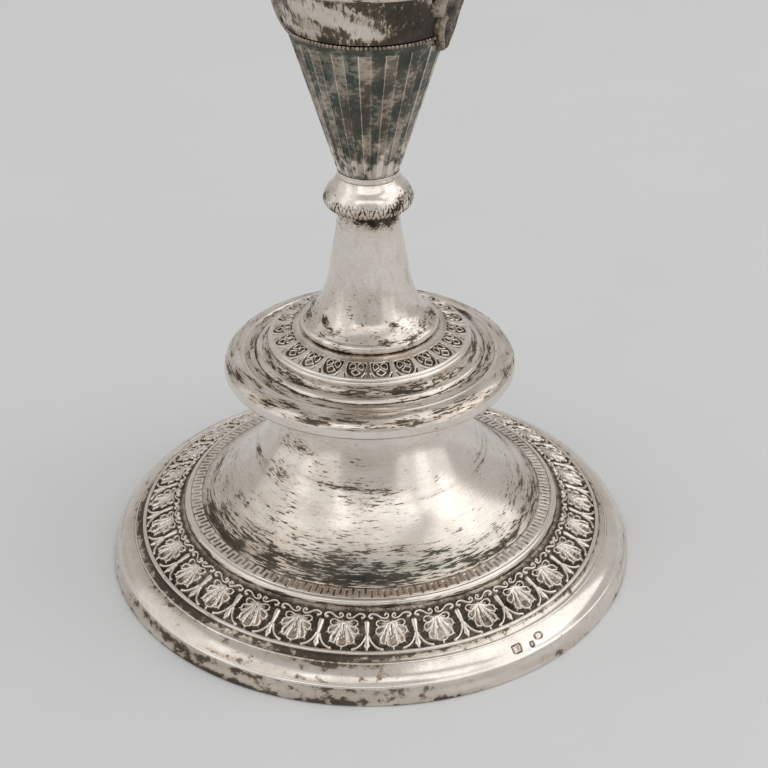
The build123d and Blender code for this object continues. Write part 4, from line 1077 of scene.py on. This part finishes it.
def applied_leaf(side):
    """Leaf and rolled tip on one side: across the middle vein u from -1 to 1, up the leaf t from 0 to 1."""
    border = path(
        through((0.0, 158.6), (3.3, 161.0), (7.2, 165.0), (8.7, 168.3), (8.3, 170.4), count=10),
        through((8.3, 170.4), (10.9, 171.3), (12.5, 174.4), (12.9, 178.4), (11.7, 181.6),
                (9.6, 182.4), count=10),
        through((9.6, 182.4), (9.7, 185.6), (8.2, 189.4), (5.2, 193.2), count=10))
    run = np.r_[0.0, np.cumsum(np.hypot(*np.diff(border, axis=0).T))]
    t = np.linspace(0.0, 1.0, 90)
    half_width = np.interp(t * run[-1], run, border[:, 0])
    edge_z = np.interp(t * run[-1], run, border[:, 1])
    middle_z = 158.6 + 34.6 * (0.85 * t + 0.15 * t * t)
    u = np.sin(np.linspace(-0.5, 0.5, 61) * math.pi)
    y = u * half_width[:, None]
    z = middle_z[:, None] + np.abs(u) ** 1.6 * (edge_z - middle_z)[:, None]
    seat_z = [150.0, 175.4, 177.2, 179.6, 183.6, 188.0, 193.2]
    seat_r = [cup_radius(150.0), cup_radius(175.4), 27.15, 27.2, 28.1, 28.6, 30.0]
    seat = np.interp(z, seat_z, seat_r)
    lobes = np.cos(FULL_TURN * 5.0 * t)[:, None]
    rim = hump(np.abs(u), 0.86, 0.16)
    hollow = hump(np.abs(u), 0.55, 0.35)
    vein = hump(u, 0.0, 0.12)
    proud = 1.45 + 0.55 * rim - 0.45 * hollow + 0.35 * vein + 0.18 * hollow * lobes
    proud = 0.15 + proud * np.sqrt(np.clip(1.0 - np.abs(u) ** 9, 0.0, 1.0)) * ease(0.0, 0.05, t)[:, None]
    front_r = np.minimum(seat + proud, 32.9)
    seat = np.where((z > 163.2) & (z < 166.0), seat + 0.95, seat)
    front = np.stack([np.sqrt(front_r**2 - y**2), y, z], axis=-1)
    behind = np.stack([np.sqrt(seat**2 - y**2), y, z], axis=-1)
    shell = np.concatenate([front, behind[:, ::-1]], axis=1)
    soil_front = 0.66 + 0.25 * hollow + 0.20 * hollow * lobes - 0.20 * rim
    tarnish_and_shade = np.concatenate([soil_front, np.full_like(soil_front, 0.8)], axis=1)
    spin = np.linspace(0.0, FULL_TURN, 24, endpoint=False)[:, None]
    s = np.linspace(-1.0, 1.0, 33)
    waves = 0.86 + 0.14 * np.cos(3.0 * math.pi * s)
    girth = 1.62 * np.sqrt(np.clip(1.0 - np.abs(s) ** 6, 0.0, 1.0)) * waves
    roll_x, roll_z = 31.3 + girth * np.cos(spin), 193.3 + girth * np.sin(spin)
    roll = np.stack([roll_x, 4.1 * s + 0.0 * spin, roll_z], axis=-1)
    roll = roll.transpose(1, 0, 2)[::-1]
    roll_soil = np.broadcast_to(0.15 + 0.3 * ease(0.3, -0.6, np.sin(spin)).T, roll.shape[:2])
    turn = np.array([side, side, 1.0])
    return [
        (shell * turn, tarnish_and_shade, 0.0, False, True, "rows"),
        (roll * turn, roll_soil, 0.0, False, True, ""),
    ]


class CANDLESTICK_OT_leaves(Operator):
    """Two applied leaves over the waist, one on each side"""

    bl_idname = "candlestick.leaves"
    bl_label = "Applied Leaves"

    def execute(self, context):
        for name, side in (("leaf_right_silver", 1.0), ("leaf_left_silver", -1.0)):
            make_piece(name, applied_leaf(side), "leaf_mounts", finish_named("old_chased_silver"),
                       crease=55.0)
        return {"FINISHED"}


class CANDLESTICK_OT_vase(Operator):
    """Shoulder that closes the vase, its collar, the slim neck and the upper knop"""

    bl_idname = "candlestick.vase"
    bl_label = "Vase and Neck"

    def execute(self, context):
        turned_silver = finish_named("old_turned_silver")
        outer = finer(
            path(
                (25.0, 179.62, 0.8),
                bend((25.3, 179.65, 0.4), (27.4, 184.0, 0.1), (28.4, 188.0, 0.05),
                     (28.4, 192.0, 0.05), count=24),
                bend((28.4, 192.0, 0.05), (28.4, 199.5, 0.05), (15.5, 199.5, 0.15),
                     (8.6, 205.98, 0.5), count=50),
            ),
            0.7,
        )
        back = path(
            (3.5, 205.98, 0.8), (3.5, 205.0, 0.8), (8.2, 205.0, 0.8),
            bend((8.2, 205.0, 0.8), (15.0, 198.4, 0.8), (27.4, 198.4, 0.8), (27.4, 192.0, 0.8), count=20),
            bend((27.4, 192.0, 0.8), (27.4, 188.0, 0.8), (26.3, 184.0, 0.8), (24.2, 179.62, 0.8), count=12))
        tongues = 24
        columns = 20
        angles = even_angles(tongues * columns)
        x = ((angles * tongues / FULL_TURN + 0.5) % 1.0 - 0.5) * 2.0
        radius, level = outer[:, :1], outer[:, 1:2]
        bearing = ease(194.5, 197.0, level)
        reached = ease(27.2, 25.2, radius + 1.6 * np.abs(x) ** 2)
        tongue = np.sqrt(np.clip(1.0 - x**2, 0.0, 1.0)) * bearing * reached
        height = 0.45 * (tongue - 0.6) * bearing * ease(10.2, 12.0, radius)
        groove = ease(0.80, 0.97, np.abs(x)) * bearing * ease(26.5, 25.0, radius)
        tarnish_and_shade = 0.70 * groove * ease(10.0, 12.0, radius) + 0.10 * drift(angles, level, 81, turns=12, pitch=9.0)
        turned("shoulder_silver", "shoulder", outer, back, turned_silver, angles, height, tarnish_and_shade, crease=60.0)

        collar = path(
            (8.6, 206.0, 0.8), bow((8.8, 206.02, 0.4), (8.8, 209.48, 0.4), 1.5, count=18), (8.6, 209.5, 0.8))
        seat = path((3.5, 209.5, 0.8), (3.5, 206.0, 0.8))
        turned("neck_collar_silver", "neck_collar", collar, seat, turned_silver, even_angles(144))

        neck = path(
            (8.4, 209.52, 0.7),
            bend((8.38, 209.7, 0.3), (6.6, 213.0, 0.06), (6.2, 218.0, 0.06), (6.4, 222.58, 0.4), count=30))
        back = bend((5.4, 222.58, 0.8), (5.2, 218.0, 0.8), (5.6, 213.0, 0.8), (7.4, 209.52, 0.8), count=12)
        turned("neck_silver", "neck", neck, back, turned_silver, even_angles(144))

        knop = finer(
            through(
                (7.0, 222.65, 0.8), (8.0, 223.7, 0.3), (9.9, 225.4, 0.08), (10.58, 227.9, 0.03),
                (9.9, 230.9, 0.05),
                (8.2, 233.2, 0.15), (6.7, 234.5, 0.6)),
            0.35,
        )
        back = path((3.5, 234.5, 0.8), (3.5, 233.6, 0.8), (6.0, 233.6, 0.8), (8.8, 230.5, 0.8),
                    (9.5, 227.9, 0.8),
                    (8.6, 225.6, 0.8), (6.4, 223.65, 0.8), (3.5, 223.65, 0.8), (3.5, 222.65, 0.8))
        leaves = 12
        angles = even_angles(leaves * 30)
        x = ((angles * leaves / FULL_TURN + 0.5) % 1.0 - 0.5) * 4.7
        y = np.r_[0.0, np.cumsum(np.hypot(*np.diff(knop[:, :2], axis=0).T))][:, None] * 1.1 - 0.6
        cut = knop_leaf_field(x, y) * ease(6.6, 5.6, y) * ease(0.0, 0.5, y)
        turned("neck_knop_silver", "neck_knop", knop, back, turned_silver, angles, -0.22 * cut, 0.85 * cut,
               crease=70.0)
        return {"FINISHED"}


class CANDLESTICK_OT_pan(Operator):
    """Drip pan on its support, with a beaded rim, and the candle socket on its collar"""

    bl_idname = "candlestick.pan"
    bl_label = "Drip Pan and Socket"

    def execute(self, context):
        sizes = context.scene.candlestick_sizes
        turned_silver = finish_named("old_turned_silver")
        support = finer(
            path(
                (6.4, 234.62, 0.6),
                bend((6.42, 234.8, 0.2), (6.8, 242.0, 0.05), (9.6, 246.6, 0.05),
                     (16.3, 249.35, 0.1), count=40),
                (16.4, 249.4, 0.6), bow((16.45, 249.45, 0.1), (16.45, 250.95, 0.1), 0.62),
            ),
            0.8,
        )
        back = bend((15.2, 250.95, 0.8), (8.8, 246.6, 0.8), (5.8, 242.0, 0.8), (5.4, 234.62, 0.8), count=16)
        turned("pan_support_silver", "pan_support", support, back, turned_silver, even_angles(180))

        rim = min(reach("drip_pan")[0] - 0.03, 37.97)
        under = path(
            (3.5, 251.02, 0.7), (17.0, 251.02, 0.6), (17.3, 251.02, 0.2), (27.0, 251.02, 0.15),
            bend((27.0, 251.02, 0.1), (33.0, 251.4, 0.05), (36.4, 253.6, 0.05), (rim, 259.1, 0.1), count=30),
            (rim - 0.1, 259.2, 0.3))
        inside = path(
            (rim - 0.9, 259.2, 0.3),
            bend((rim - 1.0, 259.1, 0.2), (35.4, 255.0, 0.12), (32.6, 252.4, 0.2), (27.0, 252.0, 0.25),
                                         count=30),
            (20.0, 252.0, 0.22), (13.4, 252.0, 0.4), (12.9, 251.98, 0.9), (3.5, 251.98, 0.9))
        line = finer(path(under, inside), 1.5)
        angles = even_angles(288)
        tarnish_and_shade = 0.10 * drift(angles, line[:, :1] + 0.5 * line[:, 1:2], 91, turns=14, pitch=9.0)
        turned("drip_pan_silver", "drip_pan", line, np.array([[3.45, 251.5, 0.9]]), turned_silver,
               angles, tarnish_and_shade=tarnish_and_shade)

        bead_ring("pan_beads_silver", "pan_beads", 37.45, 259.98, 0.80, sizes.pan_beads, turned_silver)

        collar = path(
            (12.2, 252.02, 0.8), bow((12.25, 252.05, 0.4), (12.25, 253.95, 0.4), 0.9, count=14),
            (12.2, 254.0, 0.8))
        turned("socket_collar_silver", "socket_collar", collar, path((3.5, 254.0, 0.8), (3.5, 252.02, 0.8)),
               turned_silver, even_angles(180))

        socket = finer(
            path(
                (3.5, 254.02, 0.8), (8.6, 254.02, 0.7),
                bend((8.7, 254.1, 0.4), (15.8, 258.0, 0.06), (16.6, 264.0, 0.03),
                     (15.2, 274.0, 0.05), count=40),
                bend((15.2, 274.0, 0.05), (14.3, 281.0, 0.05), (14.0, 287.0, 0.08),
                     (16.3, 290.3, 0.2), count=30),
                bow((16.42, 290.45, 0.1), (16.42, 291.95, 0.1), 0.6),
                (16.2, 292.0, 0.2),
            ),
            0.6,
        )
        back = path(
            (12.92, 292.0, 0.4), (12.9, 291.6, 0.5), (12.9, 262.0, 0.6),
            bow((12.9, 262.0, 0.6), (7.6, 255.4, 0.8), -1.2), (3.5, 255.4, 0.8))
        leaves = 10
        angles = even_angles(leaves * 36)
        x = ((angles * leaves / FULL_TURN + 0.5) % 1.0 - 0.5) * 2.0
        level = socket[:, 1:2]
        share = np.clip((level - 254.3) / 11.0, 0.0, 1.0)
        leaf = np.abs(x) - np.sqrt(np.clip(1.0 - share**2.4, 0.0, 1.0))
        line = hump(leaf, 0.0, 0.16) * ease(0.05, 0.15, share) * ease(1.0, 0.93, share)
        line = np.maximum(line, 0.8 * hump(x, 0.0, 0.08) * ease(0.85, 0.7, share) * ease(0.05, 0.15, share))
        height = -0.25 * line + 0.20 * ease(0.02, -0.2, leaf) * ease(0.0, 0.1, share) * ease(1.0, 0.9, share)
        turned("candle_socket_silver", "candle_socket", socket, back, turned_silver, angles,
               height, 0.8 * line,
               crease=60.0)
        return {"FINISHED"}


class CANDLESTICK_OT_nozzle(Operator):
    """Loose nozzle that lifts out of the socket: tube, dished flange and beaded rim"""

    bl_idname = "candlestick.nozzle"
    bl_label = "Nozzle"

    def execute(self, context):
        sizes = context.scene.candlestick_sizes
        turned_silver = finish_named("old_turned_silver")
        tube = finer(
            path(
                (0.0, 268.0, 0.6), (12.3, 268.0, 0.5), (12.53, 268.25, 0.3), (12.53, 293.0, 0.2),
                (12.3, 293.18, 0.1),
                (11.45, 293.18, 0.1), (11.2, 292.95, 0.2), (11.2, 269.0, 0.6), (0.0, 269.0, 0.8),
            ),
            1.2,
        )
        turned("nozzle_tube_silver", "nozzle_tube", tube, [], turned_silver, even_angles(144), body="nozzle")
        dish = finer(
            path(
                (12.56, 292.02, 0.5), (16.0, 292.02, 0.3),
                bend((16.0, 292.02, 0.2), (19.4, 292.6, 0.05), (21.6, 293.8, 0.05),
                     (22.97, 296.1, 0.1), count=24),
                (22.9, 296.18, 0.3), (22.1, 296.18, 0.3),
            ),
            1.0,
        )
        back = finer(
            path(
                bend((22.0, 296.1, 0.2), (20.8, 294.6, 0.1), (19.0, 293.6, 0.1),
                     (16.0, 293.2, 0.15), count=24),
                (12.56, 293.2, 0.3)),
            1.0,
        )
        turned("nozzle_dish_silver", "nozzle_dish", dish, back, turned_silver, even_angles(216),
               body="nozzle")
        top = reach("nozzle_beads")[2]
        bead_ring("nozzle_beads_silver", "nozzle_beads", 22.45, top - 0.72, 0.70, sizes.nozzle_beads,
                  turned_silver,
                  body="nozzle")
        return {"FINISHED"}


def soft_lamp(name, azimuth, rise, width, height, glow):
    """A rectangular studio lamp on a sphere round the foot, its sides given for a sphere of 1 m.

    Its power is pi times its area and brightness.
    """
    middle = Vector((0.0, 0.0, LAMP_AIM_HEIGHT))
    turn = math.radians(azimuth + CAMERA_AZIMUTH)
    lift = math.radians(rise)
    away = Vector((math.sin(turn) * math.cos(lift), -math.cos(turn) * math.cos(lift), math.sin(lift)))
    data = bpy.data.lights.new(name, "AREA")
    data.shape = "RECTANGLE"
    data.size, data.size_y = width * LAMP_DISTANCE, height * LAMP_DISTANCE
    data.energy = math.pi * data.size * data.size_y * glow
    lamp = bpy.data.objects.new(name, data)
    lamp.location = middle + LAMP_DISTANCE * away
    lamp.rotation_euler = (-away).to_track_quat("-Z", "Y").to_euler()
    bpy.context.scene.collection.objects.link(lamp)
    return lamp


class CANDLESTICK_OT_stage(Operator):
    """Pale floor, even grey air, soft lamps and the camera"""

    bl_idname = "candlestick.stage"
    bl_label = "Stage"

    def execute(self, context):
        scene = context.scene
        stage = scene.candlestick_stage
        scene.view_settings.view_transform = "Standard"
        mesh = bpy.data.meshes.new("floor")
        side = FLOOR_HALF_SIDE
        corners = [(-side, -side, 0.0), (side, -side, 0.0), (side, side, 0.0), (-side, side, 0.0)]
        mesh.from_pydata(corners, [], [(0, 1, 2, 3)])
        mesh.materials.append(studio_paper("studio_paper", stage.floor))
        floor = bpy.data.objects.new("floor", mesh)
        scene.collection.objects.link(floor)

        world = bpy.data.worlds.new("studio_air")
        world.use_nodes = True
        air = world.node_tree.nodes["Background"]
        air.inputs["Color"].default_value = AIR_COLOUR
        air.inputs["Strength"].default_value = stage.air
        scene.world = world

        # one row a lamp: name, azimuth from the camera's side and height angle in degrees, width and
        # height in metres for a sphere of 1 m, brightness
        lamps = (
            ("lamp_left_far", -90.0, 25.0, 0.83, 1.08, 0.26),
            ("lamp_left_near", -55.0, 32.0, 0.83, 1.00, 0.34),
            ("lamp_right_near", 48.0, 24.0, 0.67, 0.67, 0.34),
            ("lamp_right_far", 72.0, 22.0, 0.67, 0.67, 0.36),
            ("lamp_front_top", 4.0, 47.0, 1.25, 0.33, 0.62),
            ("lamp_behind", 98.0, 52.0, 0.90, 1.15, 0.72),
        )
        for name, azimuth, rise, width, height, glow in lamps:
            soft_lamp(name, azimuth, rise, width, height, glow * stage.lamps)

        data = bpy.data.cameras.new("camera")
        data.lens = CAMERA_LENS
        data.sensor_width = SENSOR_WIDTH
        data.shift_x = CAMERA_SHIFT
        data.clip_start = 0.01
        camera = bpy.data.objects.new("camera", data)
        camera.location = CAMERA_PLACE
        camera.rotation_euler = Euler((math.radians(90.0 - CAMERA_DOWNWARD), 0.0,
                                       math.radians(CAMERA_AZIMUTH)))
        scene.collection.objects.link(camera)
        scene.camera = camera
        return {"FINISHED"}


class CANDLESTICK_PT_panel(Panel):
    """Lists the sizes, the colours and the steps that build the candlestick"""

    bl_idname = "CANDLESTICK_PT_panel"
    bl_label = "Altar Candlestick"
    bl_space_type = "VIEW_3D"
    bl_region_type = "UI"
    bl_category = "Candlestick"

    def draw(self, context):
        layout = self.layout
        for settings in (
            context.scene.candlestick_sizes,
            context.scene.candlestick_colours,
            context.scene.candlestick_stage,
        ):
            box = layout.box()
            for name in settings.__annotations__:
                box.prop(settings, name)
        column = layout.column(align=True)
        for step in STEPS:
            column.operator(step.bl_idname)


STEPS = (
    CANDLESTICK_OT_stage,
    CANDLESTICK_OT_finishes,
    CANDLESTICK_OT_foot,
    CANDLESTICK_OT_palmettes,
    CANDLESTICK_OT_bell,
    CANDLESTICK_OT_disc,
    CANDLESTICK_OT_leaf_band,
    CANDLESTICK_OT_stem,
    CANDLESTICK_OT_cup,
    CANDLESTICK_OT_leaves,
    CANDLESTICK_OT_vase,
    CANDLESTICK_OT_pan,
    CANDLESTICK_OT_nozzle,
)
CLASSES = (CandlestickSizes, CandlestickColours, CandlestickStage, *STEPS, CANDLESTICK_PT_panel)


def register():
    for entry in CLASSES:
        bpy.utils.register_class(entry)
    bpy.types.Scene.candlestick_sizes = PointerProperty(type=CandlestickSizes)
    bpy.types.Scene.candlestick_colours = PointerProperty(type=CandlestickColours)
    bpy.types.Scene.candlestick_stage = PointerProperty(type=CandlestickStage)


def unregister():
    del bpy.types.Scene.candlestick_stage
    del bpy.types.Scene.candlestick_colours
    del bpy.types.Scene.candlestick_sizes
    for entry in reversed(CLASSES):
        bpy.utils.unregister_class(entry)


def main():
    register()
    for step in STEPS:
        group, name = step.bl_idname.split(".")
        getattr(getattr(bpy.ops, group), name)()


if __name__ == "__main__":
    main()
